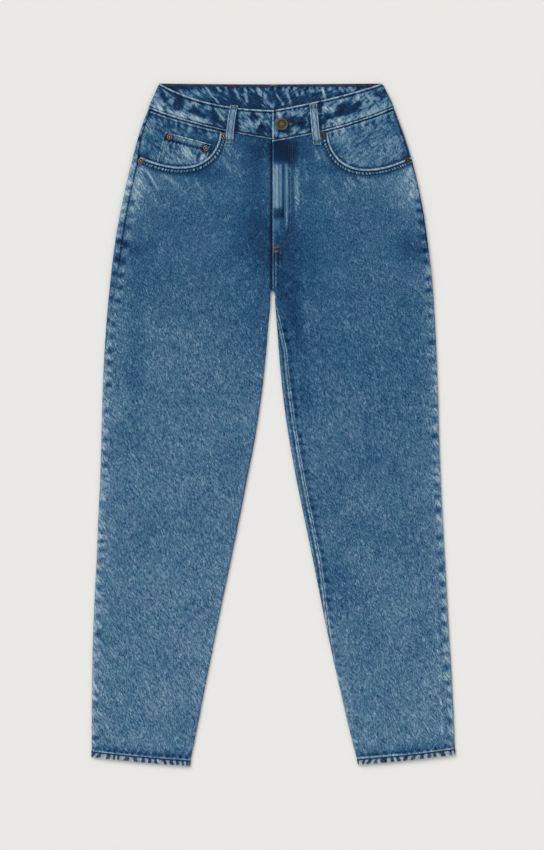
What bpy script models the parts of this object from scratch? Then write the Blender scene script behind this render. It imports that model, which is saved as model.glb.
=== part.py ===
"""Balloon jeans laid flat on a table, front side up.

X runs across the jeans and +Y towards the waist, and the cloth rests on z = 0. Sizes are in millimetres
and become metres when a mesh is made. "Down" is the distance below the waist's upper edge at the back.
Left and right are the garment's sides as it lies, seen from above with the waist at the top.
"""

import math

import bmesh
import bpy
import numpy as np

MM = 0.001
LENGTH = 1024
LEFT, RIGHT = -1, 1
SIDE_NAME = {LEFT: "left", RIGHT: "right"}

CLOTH = 1.3
SEAM_GAP = 0.3
LAYER_GAP = 0.3
FOLD_WIDTH = 4.5
CROTCH_DOWN = 309
LEGS_CLOSED_DOWN = 313

# The silhouette seen from above: how far the two sides lie from the middle, and then the inner leg edges.
SIDE_COLUMNS = ("down", "left", "right")
SIDES = np.array([
    (0, 171.8, 161.8),
    (25, 182.6, 174.6),
    (55, 195, 186.8),
    (85, 205, 197.7),
    (115, 212.8, 206.8),
    (175, 227, 220.9),
    (235, 238, 230.2),
    (310, 247, 238.4),
    (355, 251.2, 241.4),
    (415, 255, 244.2),
    (475, 257.5, 246.4),
    (535, 259.2, 248),
    (595, 261, 250.3),
    (655, 263.8, 253.2),
    (715, 266.2, 256.6),
    (775, 269.3, 260),
    (835, 271.8, 263.3),
    (895, 273, 266.9),
    (955, 273.5, 269.8),
    (1028, 273.7, 272.6),
])
INNER_LEG_COLUMNS = ("down", "left", "right")
INNER_LEGS = np.array([
    (300, 2.5, -2.1),
    (309, 2.6, -2),
    (313, 4.9, 1.2),
    (325, 5.5, 2),
    (340, 6.3, 2.9),
    (355, 8, 4.1),
    (385, 10.3, 6),
    (415, 13, 8.3),
    (475, 19.8, 14.4),
    (535, 29, 23),
    (595, 40.6, 33.8),
    (655, 52.3, 46),
    (715, 64.6, 58.4),
    (775, 77.2, 70.4),
    (835, 89.4, 83.2),
    (895, 101.4, 96.5),
    (955, 113, 110),
    (1028, 127.5, 128),
])
CENTRE_X = -2.5

# How high the cloth lies: the underside of the back and the top of the front.
HEIGHT_COLUMNS = ("down", "underside", "top")
HEIGHTS = np.array([
    (0, 2.5, 8.9),
    (45, 2.5, 8.9),
    (90, 2.2, 8.8),
    (150, 1.8, 8.3),
    (240, 1.8, 8.2),
    (290, 1.8, 8.0),
    (350, 0.0, 6.3),
    (420, 0.0, 6.1),
    (700, 0.0, 6.0),
    (1028, 0.0, 6.0),
])

# How far round the folded edge each seam has rolled: towards the front above zero, towards the back below.
ROLL_COLUMNS = ("down", "left_side", "left_inside", "right_inside", "right_side")
ROLLS = np.array([
    (0, 4, 0, 0, 1),
    (85, 7, 0, 0, 1),
    (125, 11, 0, 0, 1),
    (260, 12, 0, 0, 1),
    (330, 9, -4, 3, 1),
    (400, 3, -6, 14, 1),
    (520, 1, -6, 15, 1),
    (720, 1, -6, 14, 1),
    (820, 1, -4, 6, 1),
    (900, 1, -3, 2, 1),
    (1028, 1, -3, 2, 1),
])

# The waistband's edges, each as its down at the side and at the centre line, and its bow, which is how much
# of the curve lies towards the side.
FRONT_TOP = {LEFT: (0, 40, 1.0), RIGHT: (0, 40.5, 0.2)}
FRONT_WAIST_SEAM = {LEFT: (38, 84.5, 0.35), RIGHT: (38, 88, 0.35)}
BACK_TOP = (0, 1.2)
BACK_WAIST_SEAM = (38, 42)
SEAM_BOW = 0.35

# The rows of the panels' grid, each as its down at the side seam, at the centre front and at the centre back.
# The yoke ends on one of them. Below the crotch the rows are level, and by the hem they slope with it.
BODY_ROWS = ((54, 100, 73), (70, 116, 104), (92, 134, 122), (117, 155, 148), (148, 180, 176),
             (185, 207, 206), (222, 235, 234), (257, 263, 262), (287, 288, 288))
LEG_ROWS = (CROTCH_DOWN, LEGS_CLOSED_DOWN, 340, 380, 425, 470, 515, 560, 605, 650, 700, 745, 790, 835,
            880, 920)
HEM = {LEFT: (1010.3, 1024), RIGHT: (1006.8, 1022)}
HEM_ROWS_UP = (56, 12, 10, 0)
HEM_RAISE = 0.7
YOKE_ROW = 2

# Distances of the grid's columns from a panel's seams, close together where the cloth folds round.
EDGE_STEPS = (0, 4, 8, 12, 17, 23)
FLY_EDGE_STEPS = (0, 4, 8, 13, 19, 27, 30)
MIDDLE_STEPS = 5

FLY_WIDTH = 32
FLY_END_DOWN = 248
FLY_RAISE = 0.8
FELLED_WIDTH = 9
FELLED_RAISE = 0.6

BAND_PROUD = 0.7
BAND_WALL = 2.4
BAND_LAP = 30
BAND_DIVE = 2.7
BAND_DIVE_LENGTH = 22

# The scooped pocket opening, from the waist seam to the side seam: distance from the centre line, down.
SCOOP = {
    LEFT: ((81, 73), (86, 118), (127, 143), (203, 108.5)),
    RIGHT: ((81, 74), (86, 122), (127, 147), (203, 111)),
}
SCOOP_SIDE_POINT = {LEFT: (232, 101), RIGHT: (232, 103)}
FACING_DEPTH = {LEFT: 2.9, RIGHT: 1.6}
FACING_SEAM_DEPTH = 1.6
FACING_WALL = 1.2
FACING_ROWS = 7

# The small patch pocket on the left facing: its upper corner nearest the side, and the way its hem slopes.
COIN_CORNER = (-162.5, 73.0)
COIN_WIDTH = 70
COIN_SLOPE = math.radians(15.2)
COIN_DEPTH = 62
COIN_FLARE = 2.4
COIN_WALL = 1.0

LOOP_WIDTH = 11.5
LOOP_WALL = 1.5
LOOP_RISE = 2.0
# Each front loop: x and down of its upper end, then of its lower end, and how far it bows sideways.
FRONT_LOOPS = {LEFT: (-59.8, 33, -66.8, 90, -1.4), RIGHT: (58.8, 31, 65, 92, -0.6)}
BACK_LOOP_X = {"left": -104, "centre": 0, "right": 104}
BACK_LOOP_DOWN = (2, 54)

BACK_POCKET_X = 92
BACK_POCKET_TOP = 122
BACK_POCKET_TOP_WIDTH = 140
BACK_POCKET_FOOT_WIDTH = 122
BACK_POCKET_SIDE_DEPTH = 130
BACK_POCKET_POINT = 20
BACK_POCKET_WALL = 1.5

SHIELD_X = (-10, 33)
SHIELD_DOWN = (92, 240)
SHIELD_WALL = 1.2

BUTTON_RADIUS = 9.5
BUTTON_PLACE = (11.9, 61.4)
RIVET_RADIUS = 4.2
# Each rivet's x, its down, and how deep under the front panel's surface its seat lies.
RIVETS = {
    "rivet_left_inner": (-75.6, 79.0, 0.0),
    "rivet_left_side": (-199.8, 116.5, 0.0),
    "rivet_right_inner": (74.9, 77.4, 0.0),
    "rivet_right_side": (200.5, 115.5, 0.0),
    "rivet_coin_outer": (-156.6, 80.4, None),
    "rivet_coin_inner": (-101.8, 97.4, None),
}


def smooth_column(table, names, name, down):
    """A named column of a table at each down, on a smooth curve through the table's rows."""
    knots = table[:, 0]
    values = table[:, names.index(name)]
    slopes = np.gradient(values, knots)
    down = np.clip(down, knots[0], knots[-1])
    i = np.clip(np.searchsorted(knots, down, side="right") - 1, 0, len(knots) - 2)
    span = knots[i + 1] - knots[i]
    t = (down - knots[i]) / span
    start = values[i] * (1 + 2 * t) * (1 - t) ** 2 + slopes[i] * span * t * (1 - t) ** 2
    end = values[i + 1] * t * t * (3 - 2 * t) + slopes[i + 1] * span * t * t * (t - 1)
    return start + end


def straight_column(table, names, name, down):
    """A named column of a table at each down, straight between the table's rows."""
    return np.interp(down, table[:, 0], table[:, names.index(name)])


def ease(share, bow):
    """How far a bowed edge has dropped at a share of the way from the side to the centre line."""
    share = np.clip(share, 0, 1)
    return (1 + bow) * share - bow * share * share


def smoothstep(t):
    t = np.clip(t, 0, 1)
    return t * t * (3 - 2 * t)


class Ring:
    """The closed line round one side of the jeans at each down, front and back.

    Above the crotch it is open at the centre line, and below it closes round the inner leg edge. A place
    on it is an arc: zero on the folded side edge, above zero on the front and below zero on the back.
    """

    def __init__(self, side, down):
        self.side = side
        self.outer = smooth_column(SIDES, SIDE_COLUMNS, SIDE_NAME[side], down)
        inner = smooth_column(INNER_LEGS, INNER_LEG_COLUMNS, SIDE_NAME[side], down)
        self.width = self.outer - np.where(down > CROTCH_DOWN, inner, side * CENTRE_X)
        under = straight_column(HEIGHTS, HEIGHT_COLUMNS, "underside", down)
        top = straight_column(HEIGHTS, HEIGHT_COLUMNS, "top", down)
        self.middle = (top + under) / 2
        self.half = (top - under) / 2
        self.closed = np.clip((down - CROTCH_DOWN) / (LEGS_CLOSED_DOWN - CROTCH_DOWN), 0, 1)
        self.fold = math.pi / 4 * np.sqrt(2 * (FOLD_WIDTH ** 2 + self.half ** 2))
        self.inner_fold = self.fold * self.closed
        self.length = self.fold + self.width - FOLD_WIDTH * (1 + self.closed) + self.inner_fold

    def roll(self, edge, down):
        return straight_column(ROLLS, ROLL_COLUMNS, f"{SIDE_NAME[self.side]}_{edge}", down)

    def point(self, arc, depth):
        """x and z, and the share of the way across, of a place at this depth under the outer surface."""
        arc = np.where((arc > self.length) & (self.closed > 0), arc - 2 * self.length, arc)
        arc = np.where((arc < -self.length) & (self.closed > 0), arc + 2 * self.length, arc)
        face = np.where(arc >= 0, 1, -1)
        along = np.abs(arc)
        turn = np.clip(along / self.fold, 0, 1) * math.pi / 2
        across = FOLD_WIDTH - (FOLD_WIDTH - depth) * np.cos(turn)
        rise = (self.half - depth) * np.sin(turn)
        flat = along > self.fold
        across = np.where(flat, FOLD_WIDTH + along - self.fold, across)
        left_over = self.length - along
        turning = (left_over < self.inner_fold) & (self.closed > 0)
        turn = np.clip(left_over / np.maximum(self.inner_fold, 1e-6), 0, 1) * math.pi / 2
        reach = (FOLD_WIDTH - depth) * self.closed
        near_inside = self.width - FOLD_WIDTH * self.closed + reach * np.cos(turn)
        across = np.where(turning, near_inside, across)
        drop = (self.half - depth) * self.closed * (1 - np.sin(turn))
        rise = np.where(turning, self.half - depth - drop, rise)
        x = self.side * (self.outer - across)
        return x, self.middle + face * rise, across / self.width


def cloth_points(side, arcs_of, row_of, depth):
    """A grid of points, rows down the jeans and columns round a ring, as an array in millimetres.

    arcs_of gives the arcs of the columns from a Ring and its downs. row_of gives the downs from the share
    of the way across. They depend on each other, so they are worked out in turn until they settle.
    """
    down = row_of(np.zeros(1), 1.0)
    for _ in range(8):
        ring = Ring(side, down)
        arcs = arcs_of(ring, down)
        x, z, share = ring.point(arcs, depth)
        down = row_of(share, np.sign(arcs))
    return np.stack([x, LENGTH / 2 - down, z], axis=-1)


def columns_between(start, end, first_steps, last_steps, count=None):
    """Arcs from start to end, with fixed steps near both ends and even ones between, or the first few."""
    first, last = np.array(first_steps, float), np.array(last_steps[::-1], float)
    middle = np.linspace(0, 1, MIDDLE_STEPS + 1)[1:-1]
    share = np.concatenate([0 * first, middle, 0 * last + 1])
    step = np.concatenate([first, first[-1] * (1 - middle) - last[0] * middle, -last])
    return start + (end - start) * share[:count] + np.sign(end - start) * step[:count]


def front_arcs(side, count=None):
    last_steps = FLY_EDGE_STEPS if side == RIGHT else EDGE_STEPS

    def arcs_of(ring, down):
        start = ring.roll("side", down) + SEAM_GAP / 2
        end = ring.length - ring.roll("inside", down) * ring.closed - SEAM_GAP / 2
        return columns_between(start, end, EDGE_STEPS, last_steps, count)
    return arcs_of


def back_arcs(ring, down):
    start = ring.roll("side", down) - SEAM_GAP / 2
    end = SEAM_GAP / 2 - ring.length - ring.roll("inside", down) * ring.closed
    return columns_between(start, end, EDGE_STEPS, EDGE_STEPS)


def panel_rows(side):
    """The downs of the panels' rows at the side, the centre front and the centre back."""
    seam = FRONT_WAIST_SEAM[side]
    rows = [(seam[0] + SEAM_GAP / 2, seam[1] + SEAM_GAP / 2, BACK_WAIST_SEAM[1] + SEAM_GAP / 2)]
    rows += BODY_ROWS
    rows += [(down, down, down) for down in LEG_ROWS]
    outer, inner = HEM[side]
    rows += [(outer - up, inner - up, inner - up) for up in HEM_ROWS_UP]
    return np.array(rows, float)


def row_line(rows, bow=SEAM_BOW):
    """The downs of each row at a share of the way across, on the front or the back."""
    def row_of(share, face):
        share = np.broadcast_to(share, (len(rows), np.shape(share)[-1]))
        centre = np.where(face >= 0, rows[:, 1:2], rows[:, 2:3])
        return rows[:, :1] + (centre - rows[:, :1]) * ease(share, bow)
    return row_of


def material(name, color, roughness, metallic=0.0):
    made = bpy.data.materials.new(name)
    made.use_nodes = True
    shader = made.node_tree.nodes["Principled BSDF"]
    shader.inputs["Base Color"].default_value = (*color, 1)
    shader.inputs["Roughness"].default_value = roughness
    shader.inputs["Metallic"].default_value = metallic
    made.diffuse_color = (*color, 1)
    return made


def add_object(name, mesh, look, place=(0, 0, 0)):
    mesh.materials.append(look)
    made = bpy.data.objects.new(name, mesh)
    made.location = place
    made.parent = GARMENT
    PARTS.objects.link(made)
    return made


def shell(name, outer, inner, flip):
    """A wall lofted between two grids of points, closed by a rim along the grids' edges."""
    rows, columns = outer.shape[:2]
    centre = outer.reshape(-1, 3).mean(axis=0)
    bm = bmesh.new()
    layers = [[[bm.verts.new((p - centre) * MM) for p in row] for row in grid] for grid in (outer, inner)]
    top, bottom = layers
    for i in range(rows - 1):
        for j in range(columns - 1):
            bm.faces.new((top[i][j], top[i + 1][j], top[i + 1][j + 1], top[i][j + 1]))
            bm.faces.new((bottom[i][j], bottom[i][j + 1], bottom[i + 1][j + 1], bottom[i + 1][j]))
    rim = [(i, 0) for i in range(rows)]
    rim += [(rows - 1, j) for j in range(1, columns)]
    rim += [(i, columns - 1) for i in range(rows - 2, -1, -1)]
    rim += [(0, j) for j in range(columns - 2, -1, -1)]
    for (i, j), (k, m) in zip(rim[:-1], rim[1:]):
        bm.faces.new((top[k][m], top[i][j], bottom[i][j], bottom[k][m]))
    if flip:
        bmesh.ops.reverse_faces(bm, faces=bm.faces[:])
    mesh = bpy.data.meshes.new(name)
    bm.to_mesh(mesh)
    bm.free()
    mesh.shade_smooth()
    mesh.set_sharp_from_angle(angle=math.radians(50))
    return add_object(name, mesh, DENIM, centre * MM)


def band_step(value, edge, width=3):
    """One inside an edge and zero past it, with a short ramp."""
    return smoothstep((edge + width - value) / width)


def fly_raise(points):
    """The extra thickness of the doubled cloth over the fly, which curves back to the centre at its foot."""
    down = LENGTH / 2 - points[..., 1]
    foot = np.clip((FLY_END_DOWN - down) / FLY_WIDTH, 0, 1)
    width = FLY_WIDTH * np.sqrt(1 - (1 - foot) ** 2)
    return FLY_RAISE * band_step(points[..., 0] - CENTRE_X, width) * (down < FLY_END_DOWN)


def make_front(side):
    rows = row_line(panel_rows(side))
    arcs = front_arcs(side)
    outer = cloth_points(side, arcs, rows, 0)
    inner = cloth_points(side, arcs, rows, CLOTH)
    if side == RIGHT:
        outer[..., 2] += fly_raise(outer)
    outer[-2:, :, 2] += HEM_RAISE * (outer[-2:, :, 2] > HEM_RAISE + CLOTH)
    name = f"front_{SIDE_NAME[side]}"
    panel = shell(name, outer, inner, flip=side == RIGHT)
    cut_scoop(panel, side)
    return panel


def cubic(points, count):
    """Points along the cubic curve through the first and last point."""
    t = np.linspace(0, 1, count)[:, None]
    weights = np.concatenate([(1 - t) ** 3, 3 * t * (1 - t) ** 2, 3 * t * t * (1 - t), t ** 3], axis=1)
    return weights @ np.array(points, float)


def scoop_line(side, count=13):
    """The pocket opening's edge in x and down."""
    line = cubic(SCOOP[side], count)
    line = np.concatenate([line, [SCOOP_SIDE_POINT[side]]])
    return line * (side, 1)


def cut_scoop(panel, side):
    """Cuts the corner above the pocket opening out of a front panel."""
    line = scoop_line(side)
    side_x = side * 300
    corners = [*line, (side_x, line[-1, 1]), (side_x, 10), (line[0, 0], 10)]
    bm = bmesh.new()
    verts = [bm.verts.new((x * MM, (LENGTH / 2 - down) * MM, -20 * MM)) for x, down in corners]
    floor = bm.faces.new(verts)
    raised = bmesh.ops.extrude_face_region(bm, geom=[floor])["geom"]
    top = [v for v in raised if isinstance(v, bmesh.types.BMVert)]
    bmesh.ops.translate(bm, verts=top, vec=(0, 0, 60 * MM))
    bmesh.ops.recalc_face_normals(bm, faces=bm.faces[:])
    mesh = bpy.data.meshes.new(f"scoop_cutter_{SIDE_NAME[side]}")
    bm.to_mesh(mesh)
    bm.free()
    cutter = bpy.data.objects.new(mesh.name, mesh)
    cutter.hide_render = True
    cutter.display_type = "WIRE"
    CUTTERS.objects.link(cutter)
    cut = panel.modifiers.new("pocket opening", "BOOLEAN")
    cut.operation = "DIFFERENCE"
    cut.object = cutter


def make_back(side):
    """The yoke and the back panel below it, which share the rows of one grid."""
    all_rows = panel_rows(side)
    yoke_rows = all_rows[: YOKE_ROW + 1].copy()
    yoke_rows[-1] -= SEAM_GAP / 2
    back_rows = all_rows[YOKE_ROW:].copy()
    back_rows[0] += SEAM_GAP / 2
    pieces = []
    for piece, rows in (("yoke", yoke_rows), ("back", back_rows)):
        outer = cloth_points(side, back_arcs, row_line(rows), 0)
        inner = cloth_points(side, back_arcs, row_line(rows), CLOTH)
        if piece == "back":
            outer[..., 2] += felled_raise(side, outer)
            on_top = outer[-2:, :, 2] > HEM_RAISE + CLOTH
            outer[-2:, :, 2] += HEM_RAISE * on_top
        pieces.append(shell(f"{piece}_{SIDE_NAME[side]}", outer, inner, flip=side == LEFT))
    return pieces


def felled_raise(side, outer):
    """The lapped inside leg seam stands proud of the back panel where it has rolled onto the front."""
    down = LENGTH / 2 - outer[..., 1]
    reach = abs(outer[..., 0] - outer[:, -1:, 0])
    rolled = (side == RIGHT) * smoothstep((down - 340) / 50) * smoothstep((800 - down) / 80)
    facing_up = outer[..., 2] > Ring(side, down).middle + CLOTH
    return FELLED_RAISE * rolled * facing_up * (reach < FELLED_WIDTH)


def make_facing(side):
    """The denim under the pocket opening, from the side seam to just past the opening."""
    rows = row_line(panel_rows(side)[:FACING_ROWS])
    arcs = front_arcs(side, len(EDGE_STEPS) + MIDDLE_STEPS - 1)

    def at_depth(extra):
        down = LENGTH / 2 - cloth_points(side, arcs, rows, 0)[..., 1]
        return cloth_points(side, arcs, rows, facing_depth(side, down) + extra)

    name = f"pocket_facing_{SIDE_NAME[side]}"
    return shell(name, at_depth(0), at_depth(FACING_WALL), flip=side == RIGHT)


def facing_depth(side, down):
    """How deep the facing lies: it drops away from the waist seam to leave room for the coin pocket."""
    return FACING_SEAM_DEPTH + (FACING_DEPTH[side] - FACING_SEAM_DEPTH) * smoothstep((down - 45) / 55)


def make_waistband():
    """One strip from the underlap at the centre front, round the back, to the end that laps over it."""
    share = np.linspace(0, 1, 4)
    grids = {}
    for side in (LEFT, RIGHT):
        top, seam = FRONT_TOP[side], FRONT_WAIST_SEAM[side]
        rows = np.stack([
            top[0] + (seam[0] - SEAM_GAP - top[0]) * share,
            top[1] + (seam[1] - SEAM_GAP - top[1]) * share,
            BACK_TOP[1] + (BACK_WAIST_SEAM[1] - SEAM_GAP - BACK_TOP[1]) * share,
        ], axis=1)
        bow = (top[2] + (seam[2] - top[2]) * share)[:, None]
        at_top = Ring(side, rows[:1, 0])
        arcs = band_columns(side, at_top)

        def arcs_of(ring, down, arcs=arcs, at_top=at_top):
            stretch = (ring.length - ring.fold) / (at_top.length - at_top.fold)
            flat = np.abs(arcs) > at_top.fold
            scaled = np.sign(arcs) * (ring.fold + (np.abs(arcs) - at_top.fold) * stretch)
            return np.where(flat, scaled, arcs * ring.fold / at_top.fold)

        grids[side] = [
            cloth_points(side, arcs_of, row_line(rows, bow), depth)
            for depth in (-BAND_PROUD, BAND_WALL - BAND_PROUD)
        ]
    layers = []
    for i in (0, 1):
        left = grids[LEFT][i]
        on_front = left[..., 2] > 5
        dive = smoothstep((left[..., 0] - CENTRE_X + BAND_DIVE_LENGTH) / BAND_DIVE_LENGTH)
        left[..., 2] -= BAND_DIVE * dive * on_front
        right = grids[RIGHT][i]
        layers.append(np.concatenate([left, right[:, 1:]], axis=1))
    return shell("waistband", layers[0], layers[1], flip=True)


def band_columns(side, ring):
    """The arcs of the waistband's columns on one side: the left ones run from the lap to the centre back,
    and the right ones from there to the centre front."""
    fold, length = float(ring.fold[0]), float(ring.length[0])
    flat = length - fold
    round_fold = fold * np.array([1, 0.66, 0.33, 0, -0.33, -0.66, -1])
    back = -fold - flat * np.array([0.15, 0.35, 0.55, 0.78, 1])
    if side == RIGHT:
        front = fold + flat * np.array([1, 0.97, 0.85, 0.7, 0.5, 0.3, 0.12])
        return np.concatenate([front, round_fold, back])[::-1]
    lap = length + BAND_LAP * np.array([1, 0.5, 0.03])
    dive = length - BAND_DIVE_LENGTH * np.array([0.35, 0.7, 1])
    front = fold + flat * np.array([0.7, 0.5, 0.3, 0.12])
    return np.concatenate([lap, dive, front, round_fold, back])


def surface_top(down):
    return straight_column(HEIGHTS, HEIGHT_COLUMNS, "top", down)


def patch(name, corners_of, rows, columns, top_of, wall):
    """A flat piece whose plan is lofted between a left and a right edge, and whose upper face follows
    top_of(x, down). corners_of gives both edges' (x, down) at each share of the way down."""
    grid = np.zeros((len(rows), columns, 3))
    across = np.linspace(0, 1, columns)[:, None]
    for i, share in enumerate(rows):
        start, end = np.array(corners_of(share), float)
        line = start + (end - start) * across
        grid[i, :, 0] = line[:, 0]
        grid[i, :, 1] = LENGTH / 2 - line[:, 1]
        grid[i, :, 2] = top_of(line[:, 0], line[:, 1])
    under = grid.copy()
    under[..., 2] -= wall
    return shell(name, grid, under, flip=False)


def coin_top(x, down):
    return surface_top(down) - facing_depth(LEFT, down) + LAYER_GAP + COIN_WALL


def make_coin_pocket():
    along = np.array((math.cos(COIN_SLOPE), math.sin(COIN_SLOPE)))
    downwards = np.array((-along[1], along[0]))

    def edges(share):
        start = np.array(COIN_CORNER) + downwards * COIN_DEPTH * share
        return start - along * COIN_FLARE * share, start + along * COIN_WIDTH

    return patch("coin_pocket", edges, np.linspace(0, 1, 7), 7, coin_top, COIN_WALL)


def make_front_loop(side):
    top_x, top_down, low_x, low_down, bow = FRONT_LOOPS[side]

    def edges(share):
        x = top_x + (low_x - top_x) * share + bow * 4 * share * (1 - share)
        down = top_down + (low_down - top_down) * share
        return (x - LOOP_WIDTH / 2, down), (x + LOOP_WIDTH / 2, down)

    def top_of(x, down):
        share = (down - top_down) / (low_down - top_down)
        rise = LOOP_RISE * np.sin(np.pi * np.clip(share, 0, 1)) ** 0.7
        return surface_top(down) + BAND_PROUD + LAYER_GAP + LOOP_WALL + rise

    return patch(f"loop_front_{SIDE_NAME[side]}", edges, np.linspace(0, 1, 9), 3, top_of, LOOP_WALL)


def make_back_loop(name, x):
    top, foot = BACK_LOOP_DOWN

    def edges(share):
        down = top + (foot - top) * share
        return (x - LOOP_WIDTH / 2, down), (x + LOOP_WIDTH / 2, down)

    return patch(f"loop_back_{name}", edges, (0, 0.5, 1), 3, lambda x, down: LOOP_WALL, LOOP_WALL)


def make_back_pocket(side):
    centre = side * BACK_POCKET_X

    def edges(share):
        half = (BACK_POCKET_TOP_WIDTH + (BACK_POCKET_FOOT_WIDTH - BACK_POCKET_TOP_WIDTH) * share) / 2
        down = BACK_POCKET_TOP + BACK_POCKET_SIDE_DEPTH * share
        return (centre - half, down), (centre + half, down)

    pocket = patch(f"back_pocket_{SIDE_NAME[side]}", edges, np.linspace(0, 1, 5), 5,
                   lambda x, down: BACK_POCKET_WALL, BACK_POCKET_WALL)
    for vertex in pocket.data.vertices:
        share = (BACK_POCKET_TOP - (LENGTH / 2 - (vertex.co.y + pocket.location.y) / MM))
        share = -share / BACK_POCKET_SIDE_DEPTH
        off_centre = abs((vertex.co.x + pocket.location.x) / MM - centre) / (BACK_POCKET_FOOT_WIDTH / 2)
        vertex.co.y -= BACK_POCKET_POINT * MM * share ** 3 * (1 - min(off_centre, 1))
    return pocket


def make_fly_shield():
    def edges(share):
        down = SHIELD_DOWN[0] + (SHIELD_DOWN[1] - SHIELD_DOWN[0]) * share
        return (SHIELD_X[0], down), (SHIELD_X[1], down)

    return patch("fly_shield", edges, np.linspace(0, 1, 5), 3,
                 lambda x, down: surface_top(down) - CLOTH - LAYER_GAP, SHIELD_WALL)


def turned(name, profile, look, place, steps):
    """A turned piece: its profile, in (radius, height) from the crown out and down, swept round z."""
    mesh = bpy.data.meshes.new(name)
    points = [(radius * MM, 0, height * MM) for radius, height in profile]
    edges = [(i, i + 1) for i in range(len(points) - 1)]
    mesh.from_pydata(points, edges, [])
    made = add_object(name, mesh, look, place)
    sweep = made.modifiers.new("turn", "SCREW")
    sweep.steps = steps
    sweep.render_steps = steps
    sweep.use_merge_vertices = True
    sweep.merge_threshold = 0.00001
    sweep.use_smooth_shade = True
    return made


def make_rivet(name, x, down, depth):
    seat = coin_top(x, down) if depth is None else surface_top(down) - depth
    radius = RIVET_RADIUS
    profile = ((0, 1.5), (radius * 0.3, 1.4), (radius * 0.42, 0.8), (radius * 0.8, 0.9), (radius, 0.4),
               (radius, 0), (0, 0))
    place = (x * MM, (LENGTH / 2 - down) * MM, (seat + LAYER_GAP) * MM)
    return turned(name, profile, BRASS, place, 12)


def make_button():
    radius = BUTTON_RADIUS
    profile = ((0, 3.4), (radius * 0.62, 3.4), (radius * 0.7, 3.9), (radius * 0.86, 3.9), (radius, 3.2),
               (radius * 0.97, 2.2), (radius * 0.45, 1.5), (radius * 0.45, 0), (0, 0))
    x, down = BUTTON_PLACE
    seat = surface_top(down) + BAND_PROUD + LAYER_GAP
    return turned("button", profile, BRASS, (x * MM, (LENGTH / 2 - down) * MM, seat * MM), 24)


for old in list(bpy.data.objects):
    bpy.data.objects.remove(old)

PARTS = bpy.data.collections.new("balloon jeans")
CUTTERS = bpy.data.collections.new("cutters")
for collection in (PARTS, CUTTERS):
    bpy.context.scene.collection.children.link(collection)

GARMENT = bpy.data.objects.new("jeans_origin", None)
PARTS.objects.link(GARMENT)

DENIM = material("washed denim", (0.13, 0.24, 0.38), 0.85)
BRASS = material("aged brass", (0.36, 0.27, 0.15), 0.4, 1.0)

for side in (LEFT, RIGHT):
    make_front(side)
    make_back(side)
    make_facing(side)
    make_front_loop(side)
    make_back_pocket(side)
make_waistband()
make_coin_pocket()
make_fly_shield()
for loop_name, loop_x in BACK_LOOP_X.items():
    make_back_loop(loop_name, loop_x)
make_button()
for rivet_name, (rivet_x, rivet_down, rivet_depth) in RIVETS.items():
    make_rivet(rivet_name, rivet_x, rivet_down, rivet_depth)
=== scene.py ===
# %% [markdown]
# # Balloon jeans, laid flat
#
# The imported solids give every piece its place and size. This lesson dresses them: each cloth piece becomes
# a thin shell with its puckers and worn edges, sewn with real stitches, and seen from straight above.

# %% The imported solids
import math

import bpy
import numpy as np
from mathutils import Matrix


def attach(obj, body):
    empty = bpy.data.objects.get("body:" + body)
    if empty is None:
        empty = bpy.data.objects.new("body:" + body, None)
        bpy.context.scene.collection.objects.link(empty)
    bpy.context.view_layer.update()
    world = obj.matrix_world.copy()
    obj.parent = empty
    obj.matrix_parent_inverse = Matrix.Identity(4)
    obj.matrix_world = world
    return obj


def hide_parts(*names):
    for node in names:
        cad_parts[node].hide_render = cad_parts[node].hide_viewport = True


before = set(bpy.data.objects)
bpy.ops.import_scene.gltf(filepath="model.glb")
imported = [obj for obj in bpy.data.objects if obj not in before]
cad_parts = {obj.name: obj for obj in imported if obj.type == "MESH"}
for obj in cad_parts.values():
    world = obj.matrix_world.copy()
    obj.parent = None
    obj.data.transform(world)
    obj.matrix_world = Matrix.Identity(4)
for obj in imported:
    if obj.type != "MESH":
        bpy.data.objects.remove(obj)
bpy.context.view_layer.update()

# %% [markdown]
# ## Camera, floor and light
#
# The jeans were seen from straight above. A long lens far away keeps the legs parallel, as flat-lay
# pictures do. The light is broad and pale, with one soft lamp from the upper left, so that each pucker
# has a bright side and a shaded side.

# %% Camera
MM = 0.001
PICTURE = (544, 850)
PIXEL = 1.5  # millimetres of the jeans across one picture point
MIDDLE = (274.0, 83.5)  # where the picture shows x = 0 and the waist's upper edge
LENGTH = 1024
CAMERA_HEIGHT = 6.0
SENSOR = 24

view_x = (PICTURE[0] / 2 - MIDDLE[0]) * PIXEL * MM
view_y = (LENGTH / 2 - (PICTURE[1] / 2 - MIDDLE[1]) * PIXEL) * MM
lens = bpy.data.cameras.new("overhead")
lens.sensor_fit = "VERTICAL"
lens.sensor_height = SENSOR
lens.lens = SENSOR * (CAMERA_HEIGHT - 0.006) / (PICTURE[1] * PIXEL * MM)
lens.clip_end = 50
camera = bpy.data.objects.new("overhead", lens)
camera.location = (view_x, view_y, CAMERA_HEIGHT)
scene = bpy.context.scene
scene.collection.objects.link(camera)
scene.camera = camera
scene.view_settings.view_transform = "Standard"
print("camera looks down at", round(view_x, 4), round(view_y, 4), "with a lens of", round(lens.lens, 1))

# %% [markdown]
# ## Arithmetic with shader nodes
#
# Every look here is arithmetic on a few patterns, and each sum or product is a node. Written out one by one
# they hide the idea, so a small class turns +, - and * into nodes.

# %% Shader helpers


def node(tree, kind, **settings):
    made = tree.nodes.new(kind)
    for key, value in settings.items():
        setattr(made, key, value)
    return made


def feed(target, value):
    """Feeds a socket from a Value or another socket, or sets it to a plain value."""
    value = getattr(value, "socket", value)
    if isinstance(value, bpy.types.NodeSocket):
        target.id_data.links.new(value, target)
    else:
        target.default_value = value


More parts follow.
